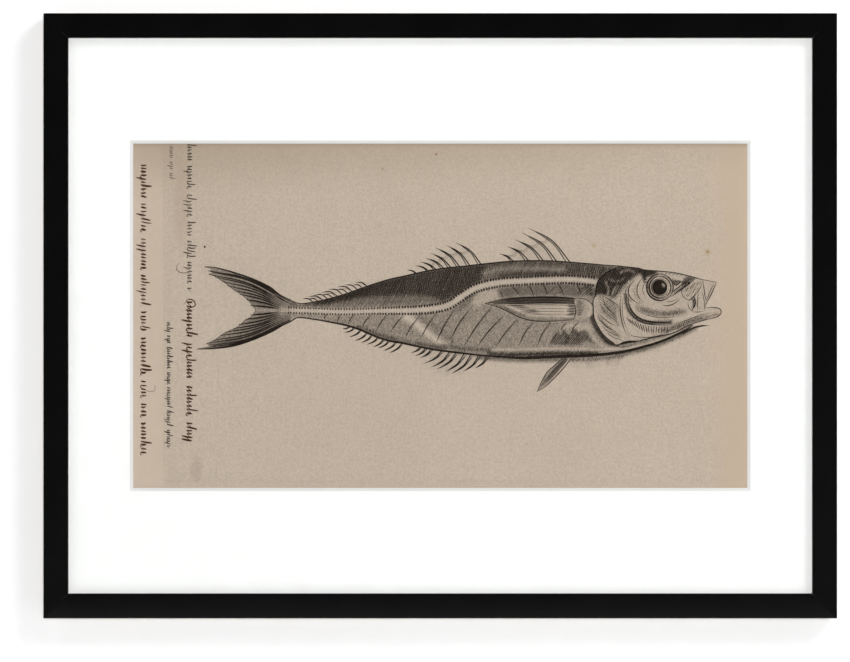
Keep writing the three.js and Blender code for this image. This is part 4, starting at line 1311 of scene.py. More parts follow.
def paper_finish(settings):
    """Old rag paper: cloudy toning, laid lines, a browned right edge, stains, foxing, and the printed ink."""
    f = Finish("old_printed_paper")
    point = f.place(offset=(0, 0, -CENTRE_Z / MM))
    axes = f.add("ShaderNodeSeparateXYZ", {0: point}).outputs
    x, z = axes[0], axes[2]
    paper = full(settings.paper)
    stain = full(settings.edge_stain)
    broad = f.noise(point, 120.0, 3, 0.5)
    cloud = f.noise(point, 22.0, 5, 0.6)
    laid = f.noise(f.place(stretch=(0.05, 1, 1.6)), 0.9, 2)
    chain = f.noise(f.place(stretch=(1.6, 1, 0.05)), 1.1, 2)
    felt = f.noise(point, 0.7, 4, 0.7)
    f.colour = lighter(paper, 1.035)
    f.layer(lighter(paper, 0.965, 0.96, 0.945), broad, 0.3, 0.7)
    f.layer(lighter(paper, 0.90, 0.885, 0.86), cloud, 0.35, 0.75, 0.35)
    texture = f.calc("ADD", f.calc("MULTIPLY", laid, 0.5), f.calc("MULTIPLY", chain, 0.5))
    f.layer(lighter(paper, 0.76), texture, 0.36, 0.64, 0.34)
    pulp = f.noise(point, 2.6, 4, 0.75)
    f.layer(lighter(paper, 0.78), pulp, 0.40, 0.60, 0.0, 0.50)
    f.layer(lighter(paper, 0.66), felt, 0.42, 0.58, 0.0, 0.42)
    specks = f.noise(point, 1.7, 3, 0.8)
    f.layer(lighter(paper, 1.18), specks, 0.38, 0.62, 0.30)
    ragged = f.calc("ADD", x, f.calc("MULTIPLY", f.noise(point, 34.0, 5, 0.65), 34.0))
    f.layer(stain, ragged, 230.0, 260.0, 0.85)
    f.layer((0.575, 0.468, 0.378, 1), x, -219.0, -226.0, 0.55)
    f.layer((0.44, 0.345, 0.25, 1), z, -132.0, -143.0, 0.5)
    # painted shadow: a brown line along the upper edge of the mat's opening, where the mat's top edge shades
    # the sheet
    f.layer((0.27, 0.205, 0.14, 1), z, 134.5, 140.2, 0.62)
    smoky = f.calc("ADD", z, f.calc("MULTIPLY", x, -0.05))
    f.layer((0.315, 0.245, 0.175, 1), smoky, 98.0, 164.0, 0.62)
    # a worn smudge and a damp stain in the left margin, then foxing spots: x, z, size, colour, strength
    marks = [
        (-209, 92, (9, 52), (0.40, 0.305, 0.235, 1), 0.40),
        (-197, -124, (7, 14), (0.30, 0.235, 0.18, 1), 0.30),
        (-238, 20, (14, 120), (0.50, 0.40, 0.32, 1), 0.18),
        (-3.2, 130.6, (1.6, 1.4), (0.23, 0.12, 0.045, 1), 0.75),
        (-46.7, 118.5, (1.3, 1.2), (0.26, 0.15, 0.06, 1), 0.5),
        (216, 51.6, (1.7, 1.7), (0.22, 0.12, 0.03, 1), 0.9),
        (216, 51.6, (4.5, 4.5), (0.40, 0.30, 0.17, 1), 0.35),
        (124.1, 56.4, (2.6, 2.2), (0.38, 0.27, 0.13, 1), 0.5),
        (-100, -50, (1.4, 1.2), (0.25, 0.16, 0.08, 1), 0.45),
        (70, -104, (1.8, 1.5), (0.33, 0.23, 0.12, 1), 0.35),
    ]
    wobble = f.add("ShaderNodeTexNoise", {"Vector": point, "Scale": 0.25, "Detail": 3.0}).outputs["Color"]
    for mark_x, mark_z, (wide, tall), shade, strength in marks:
        away = {0: point, 1: (mark_x, PAPER_Y / MM, mark_z)}
        offset = f.out("ShaderNodeVectorMath", away, operation="SUBTRACT")
        scaled = f.out("ShaderNodeVectorMath", {0: offset, 1: (1 / wide, 0, 1 / tall)},
            operation="MULTIPLY")
        shaken = f.out("ShaderNodeVectorMath", {0: wobble, 1: (0.7, 0, 0.7), 2: scaled},
            operation="MULTIPLY_ADD")
        moved = f.out("ShaderNodeVectorMath", {0: shaken, 1: (0.35, 0, 0.35)}, operation="SUBTRACT")
        reach = f.add("ShaderNodeVectorMath", {0: moved}, operation="LENGTH").outputs["Value"]
        f.layer(shade, reach, 1.0, 0.35, strength)
    flecks = f.noise(point, 0.9, 2)
    f.layer(lighter(paper, 0.35), flecks, 0.69, 0.76, 0.6)
    hairs = f.noise(f.place(turn=(0, 0.5, 0), stretch=(1, 1, 0.16)), 1.6, 2)
    f.layer(lighter(paper, 0.45), hairs, 0.76, 0.8, 0.35)

    ink = f.add("ShaderNodeAttribute", attribute_name="ink", attribute_type="GEOMETRY").outputs["Fac"]
    grain = f.noise(point, 1.1, 4, 0.75)
    # the grain shows most in the middle tones: bare paper and full black have none
    middle = f.calc("MULTIPLY", ink, f.calc("SUBTRACT", 1.0, ink))
    uneven = f.calc("MULTIPLY", middle, f.fade(grain, 0.30, 0.70, -0.85, 0.85))
    amount = f.calc("ADD", ink, uneven, clamp=True)
    f.colour = f.mix(amount, f.colour, full(settings.ink))
    height = f.calc("ADD", f.calc("MULTIPLY", felt, 0.6), f.calc("MULTIPLY", texture, 0.8))
    return f.surface(Roughness=0.9, Specular_IOR_Level=0.15, Normal=f.bump(height, 0.22, 0.06))


def ink_finish(name, colour, gloss):
    """Dried ink: its colour thins a little along the line, over a faint grain."""
    f = Finish(name)
    ink = f.colour = full(colour)
    thin = f.noise(f.place(), 2.2, 4, 0.7)
    grain = f.noise(f.place(), 0.25, 2)
    worn = (ink[0] * 1.7 + 0.012, ink[1] * 1.7 + 0.009, ink[2] * 1.7 + 0.007, 1)
    f.layer(worn, thin, 0.38, 0.72, 0.8)
    return f.surface(Roughness=gloss, Specular_IOR_Level=0.2, Normal=f.bump(grain, 0.3, 0.03))


class FRAMED_PRINT_OT_printed_sheet(bpy.types.Operator):
    """Makes the old printed sheet with its plate mark and the tones of the fish"""

    bl_idname = "framed_print.printed_sheet"
    bl_label = "Printed Sheet"

    def execute(self, context):
        material = paper_finish(context.scene.framed_print_print)
        finish_piece("printed_sheet", printed_sheet_mesh(), (material,), ("print_sheet",))
        return {"FINISHED"}


# --- the engraved lines ---


class Pen:
    """Collects the lines of one piece: their points in the drawing and a half width at each."""

    def __init__(self):
        self.points, self.halves, self.edges = [], [], []

    def run(self, points, halves):
        first = len(self.points)
        self.points += [tuple(p) for p in points]
        self.halves += [max(0.05, float(h)) for h in halves]
        self.edges += [(first + i, first + i + 1) for i in range(len(points) - 1)]

    def line(self, path, width, start=0.3, end=0.3, step=1.3):
        """A line that is width thick in the middle and thins towards its ends."""
        points = smooth(path, step)
        t = np.linspace(0, 1, len(points))
        swell = np.minimum(start + (1 - start) * soft_step(t * 3), end + (1 - end) * soft_step((1 - t) * 3))
        self.run(points, width / 2 * swell)

    def curve(self, start, end, bulge, width, *ends):
        """A line from start to end that bows by bulge to the left of its way."""
        (ax, az), (bx, bz) = start, end
        length = math.hypot(bx - ax, bz - az)
        aside = (-(bz - az) / length * bulge, (bx - ax) / length * bulge)
        self.line([start, ((ax + bx) / 2 + aside[0], (az + bz) / 2 + aside[1]), end], width, *ends)

    def dot(self, x, z, width):
        self.run([(x - 0.3 * width, z), (x, z + 0.05 * width), (x + 0.3 * width, z)], [0.25 * width,
            0.5 * width, 0.25 * width])

    def hatch(self, outline, angle, spacing, weight, seed, least=0.15, sway=0.0, wanted=None):
        """Parallel lines over an outline, each as thick as the tone under it asks."""
        random = np.random.default_rng(seed)
        outline = pairs(*outline)
        turn = math.radians(angle)
        ahead = np.array([math.cos(turn), math.sin(turn)])
        aside = np.array([-ahead[1], ahead[0]])
        rows = np.arange((outline @ aside).min(), (outline @ aside).max(), spacing)
        steps = np.arange((outline @ ahead).min() - 3, (outline @ ahead).max() + 3, 1.5)
        rows = rows + random.uniform(-0.16, 0.16, len(rows)) * spacing
        bow = sway * np.sin((steps - steps.mean()) / max(np.ptp(steps), 1) * math.pi)
        grid = rows[:, None, None] * aside + (steps[:, None] * ahead + bow[:, None] * aside)[None]
        flat = grid.reshape(-1, 2)
        within = inside(flat, outline)
        ink = np.zeros(len(flat))
        ink[within] = (wanted or ink_at)(flat[within])
        press = random.uniform(0.72, 1.25, (len(rows), 1)) * random.uniform(0.85, 1.15, (len(rows),
            len(steps)))
        halves = np.minimum(ink.reshape(len(rows), -1) * press * weight, 0.92) * spacing / 2
        keep = (within & (ink > least)).reshape(len(rows), -1)
        for row, kept, half in zip(grid, keep, halves):
            edges = np.flatnonzero(np.diff(np.concatenate([[0], kept.astype(int), [0]])))
            for start, end in zip(edges[::2], edges[1::2]):
                if end - start >= 3:
                    part = half[start:end].copy()
                    part[[0, -1]] *= 0.4
                    self.run(row[start:end], part)

    def mesh(self, name, tree, values):
        """The raised lines, as one mesh."""
        seed = bpy.data.meshes.new(name + "_lines")
        seed.from_pydata([(x * MM, z * MM, 0) for x, z in self.points], self.edges, [])
        halves = (np.array(self.halves) * MM).astype(np.float32)
        seed.attributes.new("pen", "FLOAT", "POINT").data.foreach_set("value", halves)
        return grown(name, seed, tree, values)


def stand_up(nodes, given, geometry):
    """What lies in the drawing's flat plane, stood up on the printed face."""
    place = nodes.out("ShaderNodeCombineXYZ", {"Y": given["Printed Face"], "Z": given["Middle"]})
    stood = {"Geometry": geometry, "Translation": place, "Rotation": (math.pi / 2, 0, 0)}
    return nodes.out("GeometryNodeTransform", stood)


def line_tree():
    """Raised ink lines: a low ridge along each line, as wide as the seed's pen attribute says."""
    inputs = {
        "Weight": ("Float", 1.0),
        "Rise": ("Float", 0.22),
        "Printed Face": ("Float", PAPER_Y),
        "Middle": ("Float", CENTRE_Z),
        "Material": ("Material", None),
    }
    n, given = new_tree("ink_lines", inputs)
    line = n.out("GeometryNodeMeshToCurve", {"Mesh": given["Geometry"]})
    flat = n.out("GeometryNodeSetCurveNormal", {"Curve": line}, mode="Z_UP")
    corner = n.out("GeometryNodeCurvePrimitiveCircle", {"Resolution": 3, "Radius": 1.0})
    # the lower corners sink into the paper, which is met where the ridge is one pen width wide
    shape = n.out("ShaderNodeCombineXYZ", {"X": given["Rise"], "Y": math.sqrt(3), "Z": 1.0})
    stood = {"Geometry": corner, "Rotation": (0, 0, -math.pi / 2), "Scale": shape}
    section = n.out("GeometryNodeTransform", stood)
    pen = n.out("GeometryNodeInputNamedAttribute", {"Name": "pen"}, data_type="FLOAT")
    half = n.out("ShaderNodeMath", {0: pen, 1: given["Weight"]}, operation="MULTIPLY")
    swept = {"Curve": flat, "Profile Curve": section, "Scale": half, "Fill Caps": True}
    ridges = n.out("GeometryNodeCurveToMesh", swept)
    return end_tree(n, stand_up(n, given, ridges), given["Material"])


def stipple_tree():
    """Low round dots of ink, scattered as closely as the seed's dots attribute asks."""
    inputs = {
        "Density": ("Float", 1.3e6),
        "Apart": ("Float", 0.55 * MM),
        "Dot Radius": ("Float", 0.36 * MM),
        "Dot Rise": ("Float", 0.07 * MM),
        "Seed": ("Int", 7),
        "Printed Face": ("Float", PAPER_Y),
        "Middle": ("Float", CENTRE_Z),
        "Material": ("Material", None),
    }
    n, given = new_tree("stipple", inputs)
    wanted = n.out("GeometryNodeInputNamedAttribute", {"Name": "dots"}, data_type="FLOAT")
    scatter = n.add(
        "GeometryNodeDistributePointsOnFaces",
        {"Mesh": given["Geometry"], "Distance Min": given["Apart"], "Density Max": given["Density"],
         "Density Factor": wanted, "Seed": given["Seed"]},
        distribute_method="POISSON",
    )
    shape = {"Vertices": 5, "Radius Top": 0.0, "Radius Bottom": given["Dot Radius"],
        "Depth": given["Dot Rise"]}
    dot = n.out("GeometryNodeMeshCone", shape, fill_type="NGON")
    sunk = n.out("ShaderNodeMath", {0: given["Dot Rise"], 1: -0.3}, operation="MULTIPLY")
    lift = n.out("ShaderNodeCombineXYZ", {"Z": sunk})
    low = n.out("GeometryNodeTransform", {"Geometry": dot, "Translation": lift})
    least, most = (0.55, 0.6, 1.0), (1.5, 1.25, 1.0)
    size = n.add("FunctionNodeRandomValue", {"Seed": given["Seed"]}, data_type="FLOAT_VECTOR")
    size.inputs[0].default_value, size.inputs[1].default_value = least, most
    spin = n.add("FunctionNodeRandomValue", {"Seed": 3}, data_type="FLOAT_VECTOR")
    spin.inputs[0].default_value, spin.inputs[1].default_value = (0, 0, 0), (0, 0, 2 * math.pi)
    spread = {"Points": scatter.outputs[0], "Instance": low, "Rotation": spin.outputs[0],
        "Scale": size.outputs[0]}
    dots = n.out("GeometryNodeInstanceOnPoints", spread)
    return end_tree(n, stand_up(n, given, dots), given["Material"])


def draw_back(pen):
    """The dark back: close hatching and the line of the ridge."""
    upper = closed(BACK, GILL_ARC[:4], BAND[::-1])
    pen.hatch(upper, 62, 1.1, 0.66, 11, 0.30, 1.2)
    pen.hatch(upper, 96, 1.5, 0.40, 12, 0.60, 1.0)
    pen.line(np.vstack([(-124, 14), BACK[1:]]), 1.1, 0.6, 0.7)


def draw_flank(pen):
    """The lower flank: hatching along the keel, the muscle lines, and the dotted band."""
    keel = closed(BELLY[1:20], [146, -27, 120, -24, 92, -24, 60, -25, 30, -23, 0, -16, -40, -10, -90, -2])
    pen.hatch(keel, 78, 1.25, 0.62, 21, 0.50, 0.6)
    pen.hatch(keel, 20, 1.6, 0.45, 22, 0.72, 0.6)
    clouds = [84, -24, 90, -14, 98, -8, 112, -8, 124, -14, 128, -24]
    pen.hatch(clouds, 50, 1.3, 0.62, 23, 0.5)
    pen.hatch(closed(BELLY[17:], [206, -10, 190, -13, 166, -19, 150, -22, 140, -21, 126, -8, 122, 2, 121,
        -14]),
              62, 1.2, 0.6, 24, 0.60)
    shoulder = closed([46, 22, 64, 24.2, 102, 25.8, 125, 24], [124, 15, 92, 16.4, 66, 16, 50, 14.6])
    pen.hatch(shoulder, 40, 1.5, 0.5, 25, 0.45)
    pen.line(np.vstack([(-127, -7.4), BELLY[:15]]), 1.6, 0.5, 0.6)
    pen.line(BELLY[13:22], 2.4, 0.6, 0.9)
    pen.line(BELLY[20:], 2.0, 0.9, 0.4)
    muscles = [
        ((-92, 1.2), (-93.5, -3)), ((-80.5, 1), (-83, -5)), ((-70, 1), (-74.5, -7)), ((-56, 1), (-63, -9)),
        ((-43, 1), (-52, -12.5)), ((-29.5, 0.5), (-40, -13)), ((-17.5, -1), (-28, -17)), ((-3, 2.4), (-16.5,
            -19.5)),
        ((11, 4.6), (-3, -21)), ((23, 4.4), (8.5, -18.5)), ((41, 6.4), (19.5, -24)), ((50, -1), (30, -25)),
        ((62, -3), (44.5, -26)), ((75, -5), (63.5, -24)), ((89, -5), (78, -25)), ((102.5, -5.5), (97.5,
            -12.5)),
        ((112, -5), (106, -14)),
    ]
    for k, (top, low) in enumerate(muscles):
        bow = -0.6 - 0.045 * k
        pen.curve(top, low, bow, 0.72 if 7 < k < 12 else 0.6, 0.75, 0.5)
        pen.curve((top[0] + 0.9, top[1] - 0.8), (low[0] + 1.0, low[1] + 1.4), bow, 0.26)
    for top, low in (((47, 20.5), (50.8, 14.6)), ((58, 23.5), (64, 16.2)), ((71.5, 24), (75.4, 15.7)),
        ((82.5, 25.8), (86.4, 16.8)),
                     ((95, 26), (99.5, 16.2)), ((110, 25.5), (113.5, 17))):
        pen.curve(top, low, 0.7, 0.8, 0.5, 0.4)
    band = smooth(BAND, 0.5)
    lengths = way_to(band)
    for place in np.arange(1.0, lengths[-1] - 1, 2.25):
        i = min(int(np.searchsorted(lengths, place)), len(band) - 2)
        ahead = band[i + 1] - band[i]
        aside = np.array([-ahead[1], ahead[0]]) / np.linalg.norm(ahead)
        half = 1.25 if band[i][0] < -60 else 1.25 + 0.75 * min(1, (band[i][0] + 60) / 50)
        size = 0.80 + 0.28 * soft_step((band[i][0] + 70) / 60)
        for side in (-1, 1):
            near, far = band[i] + aside * side * half, band[i] + aside * side * (half + 1.9 * size)
            pen.run([near, (near + far) / 2, far], [0.4 * size, 0.66 * size, 0.6 * size])


def draw_tail(pen):
    """The forked tail, with its rays fanned out from the root."""
    for edge, root_far, root_near, side in (
        (FORK_UPPER, (-124.5, 13.4), (-131.5, 5.4), -1),
        (FORK_LOWER[::-1], (-124.5, -6.0), (-131.5, 3.6), 1),
    ):
        lengths = way_to(edge)
        count = 10
        for k in range(count):
            t = (k + 0.3) / count
            place = lengths[-1] * (0.12 + 0.88 * t)
            tip = np.array([np.interp(place, lengths, edge[:, 0]), np.interp(place, lengths, edge[:, 1])])
            root = np.array(root_far) * (1 - t) + np.array(root_near) * t
            bow = side * 5.2 * (1 - t) ** 1.1
            beyond = (tip - root) / np.linalg.norm(tip - root) * (1.2 + 0.8 * (k % 2))
            pen.curve(tuple(root), tuple(tip + beyond), bow, 0.95 + 0.5 * t, 0.22, 0.45)
    pen.line(TAIL_TOP, 1.3, 0.4, 0.7)
    pen.line([(x, z - 1.2) for x, z in TAIL_TOP[2:]], 0.9, 0.4, 0.7)
    pen.line([(x, z - 2.9) for x, z in TAIL_TOP[3:]], 0.8, 0.4, 0.7)
    pen.line(TAIL_LOW, 1.7, 0.3, 0.7)
    pen.line([(x, z + 1.5) for x, z in TAIL_LOW[1:]], 1.1, 0.4, 0.7)
    for path in (FORK_UPPER, FORK_LOWER):
        pen.run(path, [0.22] * len(path))
    for x, z in [(-129 + 2.1 * k, 4.6 + away) for k in range(6) for away in (-2.2 - 0.12 * k, 0,
        2.2 + 0.12 * k)]:
        pen.dot(x, z, 1.0)


def draw_fins(pen):
    """The rays of the back and belly fins, the little finlets, and the two paired fins."""
    first = [((71, 71), (103, 43.7)), ((66, 67), (92.5, 44.2)), ((60.5, 61.5), (82, 44.4)), ((54, 56), (70,
        44.6)),
             ((48, 50), (58, 44.2))]
    second = [((13, 59), (31.5, 42)), ((5, 57), (22.5, 40.8)), ((-4, 55), (14.5, 39.8)), ((-7.5, 50.5),
        (7.5, 38.8)),
              ((-11.5, 46.5), (2, 38)), ((-16, 43.5), (-4, 37)), ((-20, 40.5), (-10, 36.2)), ((-26.5, 37),
                  (-19.5, 34.2))]
    for spines, apart in ((first, 1.45), (second, 1.25)):
        for k, (tip, base) in enumerate(spines):
            length = math.hypot(tip[0] - base[0], tip[1] - base[1])
            bow = 0.10 * length
            wide = min(1.0, length / 16)
            pen.curve(tip, (base[0] + apart * wide, base[1]), bow, 1.0, 0.3, 0.9)
            pen.curve((tip[0] + 0.20 * (base[0] - tip[0]), tip[1] + 0.20 * (base[1] - tip[1]) + bow * 0.45),
                      (base[0] - apart * wide, base[1]), bow * 0.72, 0.8, 0.4, 0.9)
            if k + 1 < len(spines) and length > 14:
                other_tip, other_base = spines[k + 1]
                here = bowed_point(tip, base, 0.42, bow)
                there = bowed_point(other_tip, other_base, 0.36, bow * 0.8)
                sag = ((here[0] + there[0]) / 2 + 1.4, (here[1] + there[1]) / 2 - 2.2)
                pen.line([here, sag, there], 0.32, 0.8, 0.8)
                pen.line([(here[0] + 1, here[1] - 0.9), (sag[0] + 1, sag[1] - 1.1), (there[0] + 1,
                    there[1] - 0.9)], 0.24, 0.8, 0.8)
    for k in range(12):
        base_x = -103 + 4.0 * k
        base_z = float(np.interp(base_x, *BACK.T))
        length = (7.0 + 4.5 * math.sin(math.pi * (k + 1) / 13)) * (1.0, 0.78, 1.14)[k % 3]
        tip = (base_x - 0.98 * length, base_z + (0.30, 0.24, 0.22)[k % 3] * length + (1.0 if k > 5 else 0))
        pen.curve(tip, (base_x, base_z), 0.17 * length, 0.95, 0.25, 0.7)
        if k % 3 == 2:
            pen.curve((tip[0] + 3.4, tip[1] - 1.2), (base_x - 1.4, base_z - 0.2), 0.12 * length, 0.4)
    lower = [
        ((-73.5, -8.5), (-78, -10)), ((-69.5, -9.5), (-76, -13)), ((-64, -11), (-72, -16.5)), ((-59, -13.5),
            (-67.5, -19.5)),
        ((-55, -15), (-62.5, -21)), ((-50, -17), (-58, -22.5)), ((-45.5, -18.5), (-53, -24.5)), ((-41,
            -19.5), (-49, -25.5)),
        ((-35.5, -21), (-44.5, -27.5)), ((-30.5, -22), (-39.5, -29)),
    ]
    for base, tip in lower:
        tip = (base[0] + 1.15 * (tip[0] - base[0]), base[1] + 1.12 * (tip[1] - base[1]))
        pen.curve(tip, base, -1.1, 1.15, 0.3, 0.7)
        pen.curve((tip[0] + 1.9, tip[1] + 0.3), (base[0] + 1.2, base[1] - 0.2), -0.9, 0.5)
    anal = [
        ((-16, -25), (-23.5, -30)), ((-11.5, -25.5), (-20, -32.5)), ((-7, -26.5), (-16, -34)), ((1.5, -28),
            (-13, -38.5)),
        ((7.5, -29), (-7, -41.5)), ((13, -29.5), (-2.5, -43)), ((19.5, -30.5), (4.5, -45)), ((25, -31),
            (9.5, -46.5)),
        ((31.5, -31), (18.5, -45)), ((38, -32), (28, -42.5)),
    ]
    for base, tip in anal:
        length = math.hypot(tip[0] - base[0], tip[1] - base[1])
        pen.curve(tip, base, -0.10 * length, 1.05, 0.3, 0.8)
        pen.curve((tip[0] + 1.9, tip[1] + 0.5), (base[0] + 1.6, base[1]), -0.09 * length, 0.75)
        pen.curve((tip[0] + 4.2, tip[1] + 3.4), (base[0] + 3.1, base[1]), -0.06 * length, 0.36)
    # the fin on the flank, with its dark upper rays and pale middle
    pen.line(PECTORAL_TOP, 1.0, 0.5, 0.7)
    pen.line(PECTORAL_LOW, 0.8, 0.6, 0.4)
    for k in range(5):
        t = (k + 0.5) / 5
        start = (38 + 9 * t, 9.8 + 0.5 * (1 - t))
        end = (108.5, 14.2 * (1 - t) + 9.6 * t)
        pen.line([start, (60, 14.0 - 4.6 * t), (84, 15.0 - 5.0 * t), end], 1.15 if k % 2 == 0 else 0.6, 0.3,
            0.8)
    for k in range(7):
        z = 8.4 - 1.3 * k
        start = 55 + 3.0 * k - (4 if k > 4 else 0)
        pen.line([(start, min(8.6 - 0.7 * k, z + 1)), (80, z + 0.3), (104, z)], 0.22 if k % 2 else 0.45,
            0.3, 0.6)
        pen.line([(101.5 + k % 3, z + 0.3), (106, z + 0.1), (109.5, z)], 0.9, 0.2, 0.7)
        pen.line([(start - 1.5, 8.2 - 1.0 * k), (start + 6, 8.3 - 1.02 * k), (start + 14, 8.2 - 1.05 * k)],
            0.5, 0.6, 0.15)
    pen.line([108.2, 8.6, 109.6, 4, 108.2, -1.6], 0.7)
    for k in range(8):
        pen.curve((110.4, 12 - 1.7 * k), (114.2 + 0.6 * (k % 2), 11.2 - 1.45 * k), 0.3, 0.5)
    pen.line([108, 13.6, 113, 14, 119, 12.4, 123, 8.6, 123.6, 5], 0.5, 0.4, 0.5)
    # the fin under the belly
    pen.line(PELVIC_LEFT, 0.75, 0.7, 0.35)
    pen.line(PELVIC_RIGHT[::-1], 0.75, 0.7, 0.35)
    for k in range(5):
        t = (k + 1) / 6.5
        pen.line([(104.5 + 3 * t, -31), (99 + 2.2 * t, -35 - 4 * t), (90 + 4 * t, -44.5 - 3 * t),
            (81 + 3 * t, -56 - 2 * t)], 0.55)


def bowed_point(start, end, t, bulge):
    """The point a part t along a bowed line, as Pen.curve bows it."""
    (ax, az), (bx, bz) = start, end
    length = math.hypot(bx - ax, bz - az)
    away = 4 * t * (1 - t) * bulge / length
    return (ax + (bx - ax) * t - (bz - az) * away, az + (bz - az) * t + (bx - ax) * away)


def draw_head(pen):
    """The head: gill cover, cheek, eye, snout and jaws."""
    back_of_head = closed(GILL_ARC, [125.5, 16.5, 131, 16, 139, 13.5, 144, 18, 149, 25, 160, 32, 172, 36.4],
                          [172, 36.4, 160, 38.4, 146, 40.1])
    pen.hatch(back_of_head, 64, 1.25, 0.66, 41, 0.40, 0.5)
    pen.hatch(back_of_head, 118, 1.7, 0.45, 42, 0.60, 0.5)
    pen.line(GILL_ARC, 1.3, 0.5, 0.9)
    pen.line(GILL_EDGE, 1.0, 0.9, 0.5)
    pen.line(BROW, 0.8, 0.5, 0.6)
    pen.line(BROW[4:], 0.9, 0.3, 0.7)
    pen.line(MOUTH, 0.55, 0.6, 0.6)
    pen.line(JAW_UNDER, 0.9, 0.7, 0.7)
    pen.line(JAW_TIP, 0.75, 0.7, 0.5)
    pen.line([143.5, -23.4, 150, -21.2, 158.7, -20.4], 1.4, 0.3, 0.4)
    cover = closed([126, 15, 131, 16, 138, 13.6, 144, 8], [143, -8, 146, -20, 134, -15, 126, -4])
    pen.hatch(cover, -38, 1.5, 0.50, 43, 0.27)
    for path, width in (
        ([131, 15.6, 133, 9, 138, 3.4, 142, 0.4], 0.6), ([128.6, 12, 131, 5.6, 137, -0.6, 141, -3.4], 0.45),
        ([134.6, 14, 138.4, 11, 142.4, 6], 0.35), ([131, 16, 137, 13, 142.6, 8.6, 145, 4], 0.5),
        ([127, 2.5, 131, -1.4, 136.5, -5.5, 142, -8.4], 0.6), ([128, -2.5, 134, -8.5, 142, -13], 0.5),
        ([130, -8, 137, -13.5, 145.5, -17.5], 0.5), ([133.5, -13, 140, -17.5, 147, -19.6], 0.45),
        ([146, 16.5, 145.2, 8, 146.2, -2, 148, -9, 150.4, -15.6], 0.75),
        ([147.6, 15, 147, 6, 148, -3, 151.6, -12.2], 0.45),
        ([151.8, 17, 152.6, 9, 156.4, 1.8, 163, -3, 172, -5, 186, -5.6], 1.3),
        ([149.4, 15, 150.8, 7, 155.4, 0, 161.6, -4.6, 170, -7, 184, -7.8], 0.7),
        ([157, 28.6, 153, 24, 152, 19, 154.6, 13.6, 160.6, 9.6], 0.8),
        ([153, 25, 149.8, 20.6, 151.2, 14.4, 156, 10], 0.5),
        ([163.4, 31, 159.6, 25, 159, 19, 161, 14, 164.6, 11], 0.7),
        ([168, 30.5, 163.5, 22, 166.5, 13.5], 0.45), ([179, 8.6, 184, 8.2, 189.4, 10, 193.6, 13.8], 0.75),
        ([182, 11.4, 188, 11.8, 192, 14.4], 0.45), ([160, 3.8, 168, 0.2, 180, -1.6, 194, 0], 0.4),
        ([187, 15.6, 192, 19.6, 198, 23.6, 205.4, 29.4], 1.1),
        ([186.5, 18, 192, 22.8, 198, 27, 202, 30.4], 0.7),
        ([187.4, 29.6, 190, 24.6, 194, 27.8, 190.4, 28.4], 0.9),
        ([199.4, 31, 196.4, 26.4, 195, 20.4, 196.4, 15.4, 202, 12.8, 206.5, 17], 0.45),
        ([212, 28.8, 210.4, 23.4, 207, 18.4, 202.6, 14], 0.5),
        ([212.2, 28.6, 213.6, 18, 214.8, 11.5], 0.65), ([220.6, 25.8, 217.6, 18.6, 214.8, 12.2], 0.45),
        ([223, 26.6, 219.2, 17.8, 214.6, 9.6], 0.7), ([208.6, 18.4, 207.6, 11, 208, 3.6], 0.5),
        ([211.4, 20, 213.2, 12, 213.4, 3.6], 0.5), ([205.4, 15.4, 206, 9.6, 203.2, 3.8], 1.1),
        ([200, 10.6, 201.2, 6.2, 204.6, 3], 0.55), ([204.2, 3.2, 208.4, 3, 212.8, 3.4], 0.5),
        ([200.4, 11.8, 204, 14.8, 206.8, 17.4], 0.7), ([190, -6.6, 199, -3.6, 209, 0.2, 218, 2.4], 0.45),
        ([150.2, -12.6, 156, -16.4, 168, -17.4, 178, -15.6, 184, -13], 0.5),
    ):
        pen.line(path, width)
    for k in range(16):
        t = k / 15
        x, z = 150.6 + 33 * t, -1.5 - 7.2 * math.sin(min(1, 1.5 * t) * math.pi / 2)
        lean = math.radians(-52 - 44 * min(1, 1.4 * t))
        length = 6.4 - 1.6 * abs(t - 0.3)
        pen.line([(x, z), (x + length * math.cos(lean), z + length * math.sin(lean))], 0.7, 0.8, 0.2)
        if k % 2:
            pen.line([(x + 1.2, z - 2), (x + 1.2 + 0.6 * length * math.cos(lean),
                z - 2 + 0.6 * length * math.sin(lean))], 0.3)
    plate = [198, 29, 195.4, 22, 196.4, 15.4, 202, 12.8, 208, 19, 211.6, 28]
    pen.hatch(plate, 62, 1.7, 0.75, 44, 0.10)
    for k in range(9):
        pen.line([(168 + 3.2 * k, 33.6 - 0.16 * k), (170.5 + 3.2 * k, 35.6 - 0.2 * k)], 0.4)
    throat = [150, -27, 166, -23.4, 182, -18, 196, -11.6, 205, -7.4, 203, -11.5, 184, -20.4, 160, -28.4]
    pen.hatch(throat, 68, 1.2, 0.55, 45, 0.4)
    pen.hatch([182, -13.6, 192, -10.4, 203, -5.6, 213, -2.2, 211, 0.6, 199, -3, 186, -8], 66, 1.3, 0.65, 46,
        0.28)
    cheek = [160, 8, 168, 5.2, 180, 4, 198, 5.4, 196, 1.4, 182, -1, 168, 0.4, 161, 3.6]
    pen.hatch(cheek, 72, 1.3, 0.5, 47, 0.30)
    # the eye
    for radius, width, start, end in ((10.7, 1.25, 60, 330), (10.7, 1.0, -40, 80), (8.7, 1.2, 100, 310),
        (8.7, 0.9, -70, 120),
                                      (6.9, 0.6, 0, 350), (5.7, 1.4, 0, 359)):
        pen.line(arc(EYE, radius, start, end), width)
    pen.hatch(circle(EYE, 10.4), 20, 1.5, 0.5, 48, 0.42)
    for k in range(6):
        pen.line([(163.6 + 0.5 * k, 33.6 - 2.2 * k), (166.6 + 0.35 * k, 34.6 - 2.4 * k)], 0.9)
